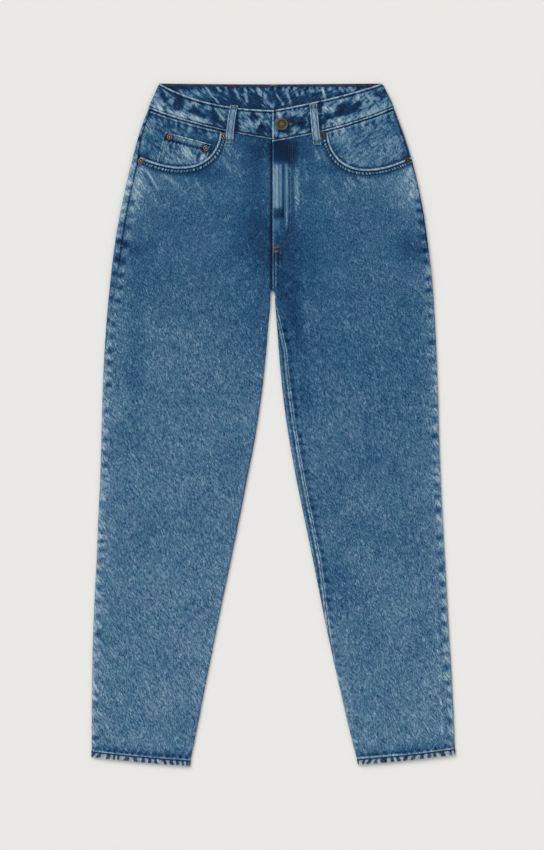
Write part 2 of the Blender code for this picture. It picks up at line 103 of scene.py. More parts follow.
class Value:
    """A number at a socket. Sums, differences and products of Values build the math nodes for them."""

    def __init__(self, socket):
        self.socket = socket

    def math(self, operation, *values):
        made = node(self.socket.id_data, "ShaderNodeMath", operation=operation)
        for target, value in zip(made.inputs, values or (self,)):
            feed(target, value)
        return Value(made.outputs[0])

    def __add__(self, other):
        return self.math("ADD", self, other)

    def __sub__(self, other):
        return self.math("SUBTRACT", self, other)

    def __rsub__(self, other):
        return self.math("SUBTRACT", other, self)

    def __mul__(self, other):
        return self.math("MULTIPLY", self, other)

    def __abs__(self):
        return self.math("ABSOLUTE")


def between(value, low, high):
    """Zero at low, one at high, clamped."""
    made = node(value.socket.id_data, "ShaderNodeMapRange")
    feed(made.inputs["Value"], value)
    feed(made.inputs["From Min"], low)
    feed(made.inputs["From Max"], high)
    return Value(made.outputs["Result"])


def pattern(kind, vector, output, **sizes):
    """A texture node at these places, with its sizes set by socket name."""
    made = node(vector.socket.id_data, kind)
    feed(made.inputs["Vector"], vector)
    for name, size in sizes.items():
        feed(made.inputs[name.replace("_", " ")], size)
    return Value(made.outputs[output])


def noise(vector, turn, size, detail=2.0):
    """Noise stretched to size (along, across, high) in metres, its long way turned from +X."""
    placed = node(vector.socket.id_data, "ShaderNodeMapping", vector_type="TEXTURE")
    feed(placed.inputs["Vector"], vector)
    feed(placed.inputs["Rotation"], (0, 0, math.radians(turn)))
    feed(placed.inputs["Scale"], size)
    placed = Value(placed.outputs[0])
    return pattern("ShaderNodeTexNoise", placed, "Fac", Scale=1.0, Detail=detail, Roughness=0.6)


def split(vector):
    """The three numbers of a vector."""
    apart = node(vector.socket.id_data, "ShaderNodeSeparateXYZ")
    feed(apart.inputs[0], vector)
    return [Value(output) for output in apart.outputs]


def mixed(blend_type, share, first, second):
    """Two colours blended by a share."""
    tree = next(v.socket.id_data for v in (share, first, second) if isinstance(v, Value))
    made = node(tree, "ShaderNodeMix", data_type="RGBA", blend_type=blend_type)
    for target, value in zip((made.inputs["Factor"], made.inputs[6], made.inputs[7]), (share, first, second)):
        feed(target, value)
    return Value(made.outputs[2])


def linear(*srgb):
    """A colour on the screen's 0 to 255 scale as the light values that a shader wants."""
    c = np.array(srgb) / 255
    return (*np.where(c <= 0.04045, c / 12.92, ((c + 0.055) / 1.055) ** 2.4), 1)


def new_group(name, inputs):
    """A shader group that gives a colour, a roughness and a height. Its inputs are a vector, then named
    numbers and colours with their values."""
    group = bpy.data.node_groups.new(name, "ShaderNodeTree")
    group.interface.new_socket("Vector", in_out="INPUT", socket_type="NodeSocketVector")
    for title, value in inputs.items():
        kind = "NodeSocketFloat" if isinstance(value, float) else "NodeSocketColor"
        group.interface.new_socket(title, in_out="INPUT", socket_type=kind).default_value = value
    for title, kind in (("Color", "Color"), ("Roughness", "Float"), ("Height", "Float")):
        group.interface.new_socket(title, in_out="OUTPUT", socket_type="NodeSocket" + kind)
    given = {socket.name: Value(socket) for socket in node(group, "NodeGroupInput").outputs if socket.name}
    return group, given, node(group, "NodeGroupOutput").inputs


def material(name, group, settings, bump, uv_map=None, **values):
    """A material that lights one group. A setting is a plain value or the name of a mesh attribute, and a
    bump is a strength and a distance in metres. The group reads Object coordinates or a UV map."""
    made = bpy.data.materials.new(name)
    made.use_nodes = True
    tree = made.node_tree
    shader = tree.nodes["Principled BSDF"]
    look = node(tree, "ShaderNodeGroup", node_tree=group)
    if uv_map:
        feed(look.inputs["Vector"], node(tree, "ShaderNodeUVMap", uv_map=uv_map).outputs[0])
    else:
        feed(look.inputs["Vector"], node(tree, "ShaderNodeTexCoord").outputs["Object"])
    for title, value in settings.items():
        if isinstance(value, str):
            value = node(tree, "ShaderNodeAttribute", attribute_name=value).outputs["Fac"]
        feed(look.inputs[title], value)
    raised = node(tree, "ShaderNodeBump")
    feed(raised.inputs["Strength"], bump[0])
    feed(raised.inputs["Distance"], bump[1])
    feed(raised.inputs["Height"], look.outputs["Height"])
    feed(shader.inputs["Normal"], raised.outputs["Normal"])
    feed(shader.inputs["Base Color"], look.outputs["Color"])
    feed(shader.inputs["Roughness"], look.outputs["Roughness"])
    for title, value in values.items():
        feed(shader.inputs[title.replace("_", " ")], value)
    return made


# %% Floor and light
FLOOR_COLOR = (0.842, 0.833, 0.802)
FLOOR_HALF = 5
SKY_STRENGTH = (0.2, 1.15)  # all round, and the extra straight above
LAMP_STRENGTH = 1.32
LAMP_SOFTNESS = math.radians(40)
LAMP_TILT = math.radians(42)
LAMP_FROM = math.radians(128)  # turned from +X, so the light comes from the upper left

floor_mesh = bpy.data.meshes.new("floor")
corners = [(x * FLOOR_HALF, y * FLOOR_HALF, 0) for x, y in ((-1, -1), (1, -1), (1, 1), (-1, 1))]
floor_mesh.from_pydata(corners, [], [(0, 1, 2, 3)])
floor = bpy.data.objects.new("floor", floor_mesh)
floor.location.z = -0.0003
scene.collection.objects.link(floor)
paint = bpy.data.materials.new("pale floor")
paint.use_nodes = True
for title, value in (("Base Color", (*FLOOR_COLOR, 1)), ("Roughness", 0.9), ("Specular IOR Level", 0.1)):
    feed(paint.node_tree.nodes["Principled BSDF"].inputs[title], value)
floor_mesh.materials.append(paint)

world = bpy.data.worlds.new("studio")
scene.world = world
world.use_nodes = True
background = world.node_tree.nodes["Background"]
feed(background.inputs["Color"], (1, 1, 1, 1))
upright = abs(split(Value(node(world.node_tree, "ShaderNodeTexCoord").outputs["Generated"]))[2])
feed(background.inputs["Strength"], upright * upright * upright * SKY_STRENGTH[1] + SKY_STRENGTH[0])
lamp = bpy.data.lights.new("window", "SUN")
lamp.energy = LAMP_STRENGTH
lamp.angle = LAMP_SOFTNESS
window = bpy.data.objects.new("window", lamp)
window.rotation_euler = (0, LAMP_TILT, LAMP_FROM)
scene.collection.objects.link(window)
print("floor, sky and lamp are set")

# %% [markdown]
# ## The rings
#
# Laid flat, each leg is a squashed tube: a front layer, a back layer and a narrow fold down each side.
# A place on it needs two numbers. One is how far down it lies, and the other is an arc, the way round the
# tube from the outer fold: above zero on the front and below zero on the back. The short tables are the
# same driving sizes as the solids have, in millimetres.

# %% Driving sizes
LEFT, RIGHT = -1, 1
SIDE_NAME = {LEFT: "left", RIGHT: "right"}
CLOTH = 1.3
SEAM_GAP = 0.3
FOLD_WIDTH = 4.5
FLOOR_CLEAR = 0.02
CROTCH_DOWN, LEGS_CLOSED_DOWN = 309, 313
CENTRE_X = -2.5


class Table:
    """Rows of sizes in millimetres: first how far down, then one column for each name."""

    def __init__(self, names, rows):
        rows = np.array(rows)
        self.knots, self.columns = rows[:, 0], dict(zip(names.split(), rows.T[1:]))

    def straight(self, name, down):
        """Straight lines through a column."""
        return np.interp(down, self.knots, self.columns[name])

    def smooth(self, name, down):
        """A cubic curve through a column, with each knot's slope taken from its neighbours."""
        knots, values = self.knots, self.columns[name]
        slopes = np.gradient(values, knots)
        down = np.clip(down, knots[0], knots[-1])
        i = np.clip(np.searchsorted(knots, down, side="right") - 1, 0, len(knots) - 2)
        span = knots[i + 1] - knots[i]
        t = (down - knots[i]) / span
        start = values[i] * (1 + 2 * t) * (1 - t) ** 2 + slopes[i] * span * t * (1 - t) ** 2
        end = values[i + 1] * t * t * (3 - 2 * t) + slopes[i + 1] * span * t * t * (t - 1)
        return start + end


SIDES = Table("left right", [
    (0, 171.8, 161.8), (25, 182.6, 174.6), (55, 195, 186.8), (85, 205, 197.7), (115, 212.8, 206.8),
    (175, 227, 220.9), (235, 238, 230.2), (310, 247, 238.4), (355, 251.2, 241.4), (415, 255, 244.2),
    (475, 257.5, 246.4), (535, 259.2, 248), (595, 261, 250.3), (655, 263.8, 253.2), (715, 266.2, 256.6),
    (775, 269.3, 260), (835, 271.8, 263.3), (895, 273, 266.9), (955, 273.5, 269.8),
    (1028, 273.7, 272.6),
])
INNER_LEGS = Table("left right", [
    (300, 2.5, -2.1), (309, 2.6, -2), (313, 4.9, 1.2), (325, 5.5, 2), (340, 6.3, 2.9), (355, 8, 4.1),
    (385, 10.3, 6), (415, 13, 8.3), (475, 19.8, 14.4), (535, 29, 23), (595, 40.6, 33.8),
    (655, 52.3, 46), (715, 64.6, 58.4), (775, 77.2, 70.4), (835, 89.4, 83.2), (895, 101.4, 96.5),
    (955, 113, 110), (1028, 127.5, 128),
])
HEIGHTS = Table("underside top", [
    (0, 2.5, 8.9), (45, 2.5, 8.9), (90, 2.2, 8.8), (150, 1.8, 8.3), (240, 1.8, 8.2), (290, 1.8, 8.0),
    (350, 0.0, 6.3), (420, 0.0, 6.1), (700, 0.0, 6.0), (1028, 0.0, 6.0),
])
ROLLS = Table("left_side left_inside right_inside right_side", [
    (0, 4, 0, 0, 1), (85, 7, 0, 0, 1), (125, 11, 0, 0, 1), (260, 12, 0, 0, 1), (330, 9, -4, 3, 1),
    (400, 3, -6, 14, 1), (520, 1, -6, 15, 1), (720, 1, -6, 14, 1), (820, 1, -4, 6, 1),
    (900, 1, -3, 2, 1), (1028, 1, -3, 2, 1),
])
# Each edge that crosses the jeans: its down at the side, at the centre, and how bowed it is.
WAIST_TOP = {"left": (0, 40, 1.0), "right": (0, 40.5, 0.2), "back": (0, 1.2, 0.35)}
WAIST_SEAM = {"left": (38, 84.5, 0.35), "right": (38, 88, 0.35), "back": (38, 42, 0.35)}
YOKE_SEAM = (70, 104, 0.35)
HEM_EDGE = {"left": (1010.3, 1024, 0.35), "right": (1006.8, 1022, 0.35)}
print("sizes set for a length of", LENGTH, "mm")

# %% Curves, edges and rings


def smoothstep(t):
    """Zero below 0, one above 1, and 3t² - 2t³ between."""
    t = np.clip(t, 0, 1)
    return t * t * (3 - 2 * t)


def bell(t):
    """A soft hump one high and about one wide each way: e to the power -t²."""
    return np.exp(-np.square(t))


def lines(distance, *rows):
    """The sum of soft lines along an edge. Each row: its distance from it, its half width, its strength."""
    return sum(strength * bell((distance - place) / width) for place, width, strength in rows)


def fade(distance, reach):
    """One at an edge, and less beyond it as e to the power -distance/reach."""
    return np.exp(-np.maximum(distance, 0) / reach)


def edge_down(edge, share):
    """Where a bowed edge lies, a share of the way from the side to the centre."""
    side, centre, bow = edge
    share = np.clip(share, 0, 1)
    return side + (centre - side) * ((1 + bow) * share - bow * share * share)


class Ring:
    """The closed line round one side at each down. The folds are quarter ellipses and the rest is flat."""

    def __init__(self, side, down):
        self.side = side
        self.outer = SIDES.smooth(SIDE_NAME[side], down)
        inner = INNER_LEGS.smooth(SIDE_NAME[side], down)
        self.width = self.outer - np.where(down > CROTCH_DOWN, inner, side * CENTRE_X)
        under = HEIGHTS.straight("underside", down)
        top = HEIGHTS.straight("top", down)
        self.middle, self.half = (top + under) / 2, (top - under) / 2
        self.closed = np.clip((down - CROTCH_DOWN) / (LEGS_CLOSED_DOWN - CROTCH_DOWN), 0, 1)
        self.fold = math.pi / 4 * np.sqrt(2 * (FOLD_WIDTH ** 2 + self.half ** 2))
        self.inner_fold = self.fold * self.closed
        self.length = self.fold + self.width - FOLD_WIDTH * (1 + self.closed) + self.inner_fold
        self.side_seam = ROLLS.straight(SIDE_NAME[side] + "_side", down)
        roll = ROLLS.straight(SIDE_NAME[side] + "_inside", down)
        self.inner_seam = self.length - roll * self.closed
        self.back_inner_seam = self.inner_seam - 2 * self.length

    def arc(self, x):
        """The arc of the front's flat part at an x."""
        return self.fold + self.outer - self.side * x - FOLD_WIDTH

    def point(self, arc, depth):
        """x, z and the share of the way across, at this depth under the cloth's outer face."""
        arc = np.where((arc > self.length) & (self.closed > 0), arc - 2 * self.length, arc)
        arc = np.where((arc < -self.length) & (self.closed > 0), arc + 2 * self.length, arc)
        face, along = np.where(arc >= 0, 1, -1), np.abs(arc)
        turn = np.clip(along / self.fold, 0, 1) * math.pi / 2
        across = FOLD_WIDTH - (FOLD_WIDTH - depth) * np.cos(turn)
        rise = (self.half - depth) * np.sin(turn)
        across = np.where(along > self.fold, FOLD_WIDTH + along - self.fold, across)
        left_over = self.length - along
        turning = (left_over < self.inner_fold) & (self.closed > 0)
        turn = np.clip(left_over / np.maximum(self.inner_fold, 1e-6), 0, 1) * math.pi / 2
        reach = (FOLD_WIDTH - depth) * self.closed
        across = np.where(turning, self.width - FOLD_WIDTH * self.closed + reach * np.cos(turn), across)
        drop = (self.half - depth) * self.closed * (1 - np.sin(turn))
        rise = np.where(turning, self.half - depth - drop, rise)
        return self.side * (self.outer - across), self.middle + face * rise, across / self.width


def cloth_at(side, arc, down, depth):
    """Points in millimetres on one side's ring: x and z from the ring, y from the down."""
    x, z, _ = Ring(side, down).point(arc, depth)
    return np.stack([x, LENGTH / 2 - down, z], axis=-1)


def settled(side, start, arc_of, down_of):
    """A grid's arcs and downs. Each depends on the other, so both are worked out in turn until they settle:
    arc_of takes a ring, and down_of takes shares of the way across, arcs and x."""
    down = start
    for _ in range(10):
        ring = Ring(side, down)
        arc = arc_of(ring)
        x, _, share = ring.point(arc, 0)
        down = down_of(share, arc, x)
    return arc, down


# %% [markdown]
# ## Shells
#
# A cloth piece is a grid of points worked out as whole arrays, moved out by its relief, with a second grid
# inside it and a rim between. The inner grid needs fewer points, because nothing shows there.

# %% Building a mesh from arrays


def spaced(length, step, fine, reach):
    """Positions from 0 to length, fine steps near both ends, in a multiple of four steps. The density of
    points is 1/step, and rises towards 1/fine as e to the power -distance/reach."""
    s = np.linspace(0, length, 4000)
    near = np.exp(-s / reach) + np.exp(-(length - s) / reach)
    density = 1 / step + (1 / fine - 1 / step) * np.clip(near, 0, 1)
    total = np.concatenate([[0], np.cumsum((density[1:] + density[:-1]) / 2 * np.diff(s))])
    count = 4 * math.ceil(total[-1] / 4)
    return np.interp(np.linspace(0, total[-1], count + 1), total, s)


FEW = (slice(None, None, 4), slice(None, None, 4))  # every fourth point of a grid each way
FULL_TONE, PLAIN_TONE = 200, 100  # the palest tone, and that of faces that never show
SHARP_ANGLE = math.radians(60)


def grid_faces(rows, columns, start, flip):
    index = start + np.arange(rows * columns).reshape(rows, columns)
    quads = np.stack([index[:-1, :-1], index[1:, :-1], index[1:, 1:], index[:-1, 1:]], axis=-1).reshape(-1, 4)
    return quads[:, ::-1] if flip else quads


def border(rows, columns, start):
    """The indices round a grid's edge, down its first column first, without the first one twice."""
    index = start + np.arange(rows * columns).reshape(rows, columns)
    return np.concatenate([index[:-1, 0], index[-1, :-1], index[:0:-1, -1], index[0, :0:-1]])


def shell_arrays(outer, inner, outer_tone, flip, inner_tone=PLAIN_TONE):
    """A closed wall between two grids, the inner one with every point or every fourth one. The rim joins each
    step along the outer border to its nearest inner point, and a triangle more where that point changes."""
    skip = (outer.shape[0] - 1) // (inner.shape[0] - 1)
    count = outer.shape[0] * outer.shape[1]
    points = np.concatenate([outer.reshape(-1, 3), inner.reshape(-1, 3)])
    inner_tones = np.broadcast_to(inner_tone, inner.shape[:2])
    tones = np.concatenate([outer_tone.ravel(), inner_tones.ravel()]) / FULL_TONE
    outside, inside = border(*outer.shape[:2], 0), border(*inner.shape[:2], count)
    after = np.roll(outside, -1)
    if skip == 1:
        rim = np.stack([after, outside, inside, np.roll(inside, -1)], axis=-1)
    else:
        nearest = inside[((np.arange(len(outside) + 1) + skip // 2) // skip) % len(inside)]
        near, then = nearest[:-1], nearest[1:]
        step = near != then
        rim = np.concatenate([np.stack([after, outside, near], axis=-1),
                              np.stack([then, after, near], axis=-1)[step]])
    faces = [grid_faces(*outer.shape[:2], 0, flip), grid_faces(*inner.shape[:2], count, not flip),
             rim[:, ::-1] if flip else rim]
    return points, faces, tones


def mesh_from(name, look, points, faces, tones):
    """A mesh object from an array of points in millimetres and arrays of three or four cornered faces."""
    mesh = bpy.data.meshes.new(name)
    corners = np.concatenate([f.ravel() for f in faces])
    sizes = np.concatenate([np.full(len(f), f.shape[1]) for f in faces])
    mesh.vertices.add(len(points))
    mesh.vertices.foreach_set("co", (points * MM).ravel())
    mesh.loops.add(len(corners))
    mesh.loops.foreach_set("vertex_index", corners.astype(np.int32))
    mesh.polygons.add(len(sizes))
    mesh.polygons.foreach_set("loop_start", np.concatenate([[0], np.cumsum(sizes)[:-1]]).astype(np.int32))
    mesh.update(calc_edges=True)
    mesh.validate()
    mesh.attributes.new("tone", "FLOAT", "POINT").data.foreach_set("value", tones)
    mesh.shade_smooth()
    mesh.set_sharp_from_angle(angle=SHARP_ANGLE)
    mesh.materials.append(look)
    made = bpy.data.objects.new(name, mesh)
    scene.collection.objects.link(made)
    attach(made, "root")
    return made


def grid_area(points):
    """The area of a grid's quads in square metres, each as half the cross product of its diagonals."""
    first = points[1:, 1:] - points[:-1, :-1]
    second = points[1:, :-1] - points[:-1, 1:]
    return float(np.linalg.norm(np.cross(first, second), axis=-1).sum() / 2 * MM * MM)


def cloth(node_name, look, size, grid, part):
    """Makes a cloth piece in place of a solid, hides that solid, and prints the size that the piece was cut
    to.
    """
    piece = mesh_from("cloth_" + node_name, look, *part)
    area = min(grid_area(grid), size[0] * size[1])
    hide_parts(node_name)
    triangles = sum(len(p.vertices) - 2 for p in piece.data.polygons)
    print(f"{piece.name}: {triangles} triangles, cut {size[0]:.3f} x {size[1]:.3f} m, {area:.4f} m2")
    return piece


def joined(parts):
    """Several sets of points, faces and tones as one set."""
    starts = np.cumsum([0] + [len(points) for points, _, _ in parts[:-1]])
    faces = [f + start for start, (_, fs, _) in zip(starts, parts) for f in fs]
    return np.concatenate([p for p, _, _ in parts]), faces, np.concatenate([t for _, _, t in parts])


# %% [markdown]
# ## Denim
#
# Washed denim is a warp of indigo threads over a pale weft. Where the cloth is rubbed, the indigo goes and
# the pale core shows, so the whole look follows one number, the tone, from dark to pale. Each mesh carries
# its broad tone as an attribute, worked out with its puckers. In a few places that tone also holds painted
# shade and shadow, under hems, raised edges and the band, and a little painted light inside the band. The
# group adds the clouds of the wash, the twill's short slanting flecks, scratches where the cloth is worn,
# and the ropes of a washed hem.

# %% The denim group
WASH = (
    (0.04, (6, 18, 42)), (0.16, (13, 35, 66)), (0.275, (22, 60, 96)), (0.385, (37, 84, 121)),
    (0.455, (53, 98, 131)), (0.545, (83, 118, 144)), (0.695, (123, 150, 168)), (1.0, (178, 194, 204)),
)
CRISP_TONE = 0.42  # the tone at which crumpled cloth turns sharply from dark to pale
TINTS = ((0.93, 1.01, 0.99, 1), (1.05, 0.99, 1.02, 1))

denim_group, given, gives = new_group("washed denim", {
    "Tone": 0.45, "Flecks": 1.0, "Clouds": 1.0, "Scratches": 1.0, "Crisp": 0.0, "Hem": 0.0, "Calm": 0.0})
place, tone, crisp = given["Vector"], given["Tone"], given["Crisp"]
curl = pattern("ShaderNodeTexNoise", place, "Color", Scale=110)
bend = node(denim_group, "ShaderNodeVectorMath", operation="MULTIPLY_ADD")
for target, value in zip(bend.inputs, (curl, (0.005, 0.005, 0), place)):
    feed(target, value)
bent = Value(bend.outputs[0])
# The two legs' crumples mirror each other, so x is folded at the middle and z tells the halves apart.
bent_x, bent_y, _ = split(bent)
halves = node(denim_group, "ShaderNodeCombineXYZ")
for target, value in zip(halves.inputs, (abs(bent_x) * -1, bent_y, bent_x.math("GREATER_THAN", bent_x, 0))):
    feed(target, value)

clouds = noise(place, 20, (0.09, 0.06, 0.08), 3)
mottle = noise(place, -50, (0.014, 0.008, 0.01), 2)
slant = noise(bent, -62, (0.0042, 0.00088, 0.01), 2)
slubs = noise(bent, -78, (0.0042, 0.00066, 0.01), 1)
weave = noise(bent, -58, (0.0034, 0.00068, 0.01), 1)
scratches = noise(bent, -56, (0.020, 0.0021, 0.01), 2)
strokes = noise(bent, -54, (0.022, 0.0044, 0.01), 1)
gaps = noise(place, 10, (0.012, 0.012, 0.01), 1)
tint = noise(place, 0, (0.04, 0.04, 0.04), 1)
crumple = noise(Value(halves.outputs[0]), -36, (0.016, 0.0042, 0.01), 3)
ropes = pattern("ShaderNodeTexWave", place, "Fac", Scale=30, Distortion=6, Detail=1, Detail_Scale=1.6)

broad = (clouds - 0.5) * 0.16 + (mottle - 0.5) * 0.03
small = between(slant, 0.5, 0.76) * 0.10 - between(slant, 0.5, 0.26) * 0.08
small = (small + ((slubs - 0.5) * 0.66 + (weave - 0.5) * 0.88)) * (between(tone, 0.3, 0.46) * 0.24 + 0.72)
kept = 1 - given["Calm"]
scratched = given["Scratches"] * kept
hairs = between(abs(strokes - 0.5), 0.07, 0.0) * between(gaps, 0.5, 0.62)
toned = tone + broad * given["Clouds"] + hairs * 0.17 * scratched
toned = toned + (between(scratches, 0.44, 0.64) - 0.42) * 0.36 * (between(tone, 0.47, 0.6) * scratched)
away = toned + (crumple - 0.5) * 0.5 * crisp - CRISP_TONE
near = ((away * 7) * (away * 7) * -1).math("EXPONENT")
toned = away * (near * crisp + 1) + CRISP_TONE
toned = toned + (between(ropes, 0.25, 0.75) - 0.58) * 0.5 * given["Hem"]
toned = toned + small * (given["Flecks"] * kept)

ramp = node(denim_group, "ShaderNodeValToRGB")
ramp.color_ramp.elements[0].position = WASH[0][0]
ramp.color_ramp.elements[1].position = WASH[-1][0]
for share, _ in WASH[1:-1]:
    ramp.color_ramp.elements.new(share)
for element, (_, shade) in zip(ramp.color_ramp.elements, WASH):
    element.color = linear(*shade)
feed(ramp.inputs["Fac"], toned)
tinted = mixed("MULTIPLY", 1.0, Value(ramp.outputs["Color"]), mixed("MIX", between(tint, 0.32, 0.68), *TINTS))
greyed = node(denim_group, "ShaderNodeHueSaturation")
feed(greyed.inputs["Color"], tinted)
feed(greyed.inputs["Saturation"], 1 - given["Hem"] * 0.3)
feed(gives["Color"], greyed.outputs["Color"])
feed(gives["Roughness"], small * -0.3 + 0.82)
feed(gives["Height"], small + mottle * 0.5)
print("denim group:", len(denim_group.nodes), "nodes")

# %% Denim materials


def denim(name, flecks, clouds_amount, scratches_amount, crisp_amount, bump, extras=()):
    """A denim that reads the mesh's tone, and the extra attributes that its mesh has."""
    settings = {"Tone": "tone", "Flecks": flecks, "Clouds": clouds_amount, "Scratches": scratches_amount,
                "Crisp": crisp_amount, **{extra: extra.lower() for extra in extras}}
    return material(name, denim_group, settings, (bump, 0.0006), Specular_IOR_Level=0.12, Sheen_Weight=0.03)


LEG_DENIM = denim("leg denim", 1.0, 1.0, 0.8, 0.0, 0.4, ("Hem", "Calm"))
BAND_DENIM = denim("band denim", 0.55, 0.9, 1.2, 1.5, 0.4)
TRIM_DENIM = denim("trim denim", 0.8, 0.8, 1.2, 0.9, 0.4)
LOOP_DENIM = denim("loop denim", 0.45, 0.5, 0.6, 0.2, 0.3)
print("denim materials:", LEG_DENIM.name, BAND_DENIM.name, TRIM_DENIM.name, LOOP_DENIM.name)

# %% [markdown]
# ## Puckers and wear
#
# Sewing pulls cloth into small puckers beside each seam, and rubbing pales their tops. Both come from the
# same waves, so relief and tone always agree. A wave is a row of knots a little unevenly spaced, high and
# low in turn. Longer creases and patches of tone are listed in short tables.

# %% Waves, creases and patches


def uneven_wave(seed, length, pitch):
    """A function of the distance along a seam that swings between -1 and 1 about every half pitch: knots at
    seeded, uneven places with a smooth step from each to the next."""
    rng = np.random.RandomState(seed)
    gaps = rng.uniform(0.3, 0.75, int(length / pitch * 2.6) + 6) * pitch
    places = np.cumsum(gaps) - 3 * pitch
    heights = rng.uniform(0.35, 1.0, len(places)) * np.where(np.arange(len(places)) % 2, 1, -1)

    def wave(s):
        i = np.clip(np.searchsorted(places, s) - 1, 0, len(places) - 2)
        t = (s - places[i]) / (places[i + 1] - places[i])
        return heights[i] + (heights[i + 1] - heights[i]) * smoothstep(t)
    return wave


def creases(x, down, table):
    """The sum of soft ridges. Each row gives a start and an end, a half width and a strength: the ridge is
    a bell across its line and fades towards both ends."""
    total = np.zeros(np.shape(x))
    for x0, down0, x1, down1, width, strength in table:
        along = np.array((x1 - x0, down1 - down0), float)
        length = np.hypot(*along)
        ux, ud = along / length
        s = ((x - x0) * ux + (down - down0) * ud) / length
        off = (x - x0) * ud - (down - down0) * ux
        near = (s > -0.2) & (s < 1.2) & (np.abs(off) < 3 * width)
        ends = smoothstep(s / 0.3 + 0.3) * smoothstep((1 - s) / 0.3 + 0.3)
        total += np.where(near, strength * bell(off / width) * ends, 0)
    return total


def patches(x, down, table):
    """The sum of round, soft patches: each row gives a centre, two radii and a strength."""
    total = np.zeros(np.shape(x))
    for x0, down0, x_radius, down_radius, strength in table:
        total += strength * bell(np.hypot((x - x0) / x_radius, (down - down0) / down_radius))
    return total


def boxes(x, down, table):
    """The sum of soft-edged stripes: each row gives two x, two downs and a strength."""
    total = np.zeros(np.shape(x))
    for x0, x1, down0, down1, strength in table:
        across = smoothstep((x - x0 + 0.6) / 1.2) * smoothstep((x1 + 0.6 - x) / 1.2)
        total += strength * across * smoothstep((down - down0 + 4) / 8) * smoothstep((down1 + 4 - down) / 8)
    return total


# Broad tones, as brightness from 0 to FULL_TONE, read at a few downs on each side.
TONES = Table("left right", [
    (60, 78, 84), (110, 80, 82), (180, 79, 81), (300, 82, 80), (370, 89, 80), (430, 92, 82), (550, 92, 88),
    (700, 97, 91), (850, 102, 96), (950, 100, 102), (1030, 102, 104),
])
TONE_PATCHES = (
    (13, 99, 62, 20, -32), (-2, 240, 62, 46, -30), (42, 292, 34, 40, -14), (30, 345, 14, 60, -26),
    (12, 306, 14, 30, -14), (-103, 134, 26, 12, -22), (89, 128, 24, 9, -20), (-226, 248, 34, 17, -24),
    (212, 246, 28, 20, -20), (-211, 152, 25, 34, 34), (214, 150, 26, 38, 42), (-45, 352, 30, 46, -12),
    (40, 468, 20, 45, -12), (70, 628, 34, 22, -8), (92, 745, 28, 40, -9), (160, 625, 34, 50, -6),
    (-208, 420, 13, 120, -11), (-30, 160, 20, 60, -16), (52, 150, 18, 30, -12), (-180, 432, 26, 20, 6),
    (-105, 425, 20, 20, 6), (170, 300, 40, 34, 6), (-120, 960, 40, 18, -6), (40, 980, 30, 16, -8),
    (-18, 350, 18, 60, -14), (-24, 430, 14, 50, -9), (142, 530, 16, 90, -8), (102, 745, 18, 50, -10),
    (-262, 810, 14, 70, -9), (142, 146, 18, 10, 12), (200, 128, 12, 10, 12), (142, 236, 22, 22, 8),
    (-72, 232, 26, 18, 8), (258, 620, 14, 46, 11),
)


def leg_tone(side, x, down):
    """The broad tone of the legs and hips, the same on both faces."""
    return TONES.straight(SIDE_NAME[side], down) + patches(x, down, TONE_PATCHES)


# %% [markdown]
# ## Front panels
#
# Each front panel's grid runs from the side seam to the centre or the inner leg seam, and from the waist
# seam or the pocket's scooped opening down to the hem. Its relief adds the sewn details that show from
# a step away: the hem, the fly's double cloth, the puckers along the seams and the roped pocket edge.

# %% The front's relief and tone
HEM_DEPTH = 9.5
HEM_STITCH = 1.9  # how far below the hem's upper edge its stitching runs
FLY_WIDTH = 32
FLY_END_DOWN = 248
FLY_OUTER, FLY_INNER = 1.5, 7.3
SCOOP = {
    LEFT: ((81, 73), (86, 118), (127, 143), (203, 108.5)),
    RIGHT: ((81, 74), (86, 122), (127, 147), (203, 111)),
}
SCOOP_SIDE_POINT = {LEFT: (232, 101), RIGHT: (232, 103)}
POCKET_HEM = 11.0
RIVETS = {
    "rivet_left_inner": (-75.6, 79.0),
    "rivet_left_side": (-199.8, 116.5),
    "rivet_right_inner": (74.9, 77.4),
    "rivet_right_side": (200.5, 115.5),
    "rivet_coin_outer": (-156.6, 80.4),
    "rivet_coin_inner": (-101.8, 97.4),
}
HEM_STITCHES = (4.6, 10.1)
FASTENED = 4.6  # the cloth lies flat this far round a rivet or the button
SEAM_PUCKERS = {
    (LEFT, "side"): uneven_wave(3, LENGTH, 19),
    (RIGHT, "side"): uneven_wave(8, LENGTH, 19),
    (LEFT, "inner"): uneven_wave(13, LENGTH, 15),
    (RIGHT, "inner"): uneven_wave(21, LENGTH, 13),
}
EDGE_RUB = {LEFT: 64, RIGHT: 60}  # how much paler the outer folds are
INNER_RUB = {LEFT: 20, RIGHT: 6}  # how much paler the cloth beside the inner leg seams is
HEM_TONE = 96
DOWN_TO_CLOTH = 0.995  # the hems slant, so the distance square to them is a little less than straight down
HEM_TWIST = {LEFT: uneven_wave(41, 300, 4.2), RIGHT: uneven_wave(43, 300, 4.2)}
HEM_ROPE = {LEFT: uneven_wave(31, 300, 10), RIGHT: uneven_wave(37, 300, 10)}
FLY_STRIPES = (
    (-0.6, 2.4, 121, 188, 42), (2.6, 6.2, 121, 188, 60), (6.4, 8.4, 122, 186, 24), (8.6, 11.8, 121, 186, 40),
    (12.6, 14.8, 121, 202, -34), (15.4, 17.4, 118, 214, 10), (17.8, 20.8, 121, 216, 46),
    (21.4, 23.4, 94, 226, -16), (26.4, 29.4, 94, 226, -10), (31.5, 37.5, 128, 184, 34),
    (-0.6, 8.6, 204, 220, 32), (-2, 15, 188, 202, -26), (-2, 22, 84, 119, -25), (22, 36, 86, 122, -15),
    (-1, 4, 224, 240, 10), (-2, 14, 252, 268, -14),
)
FLY_CALM = ((-1, 21, 121, 188, 0.75), (-2, 34, 86, 119, 0.65), (-1, 9, 203, 221, 0.6))
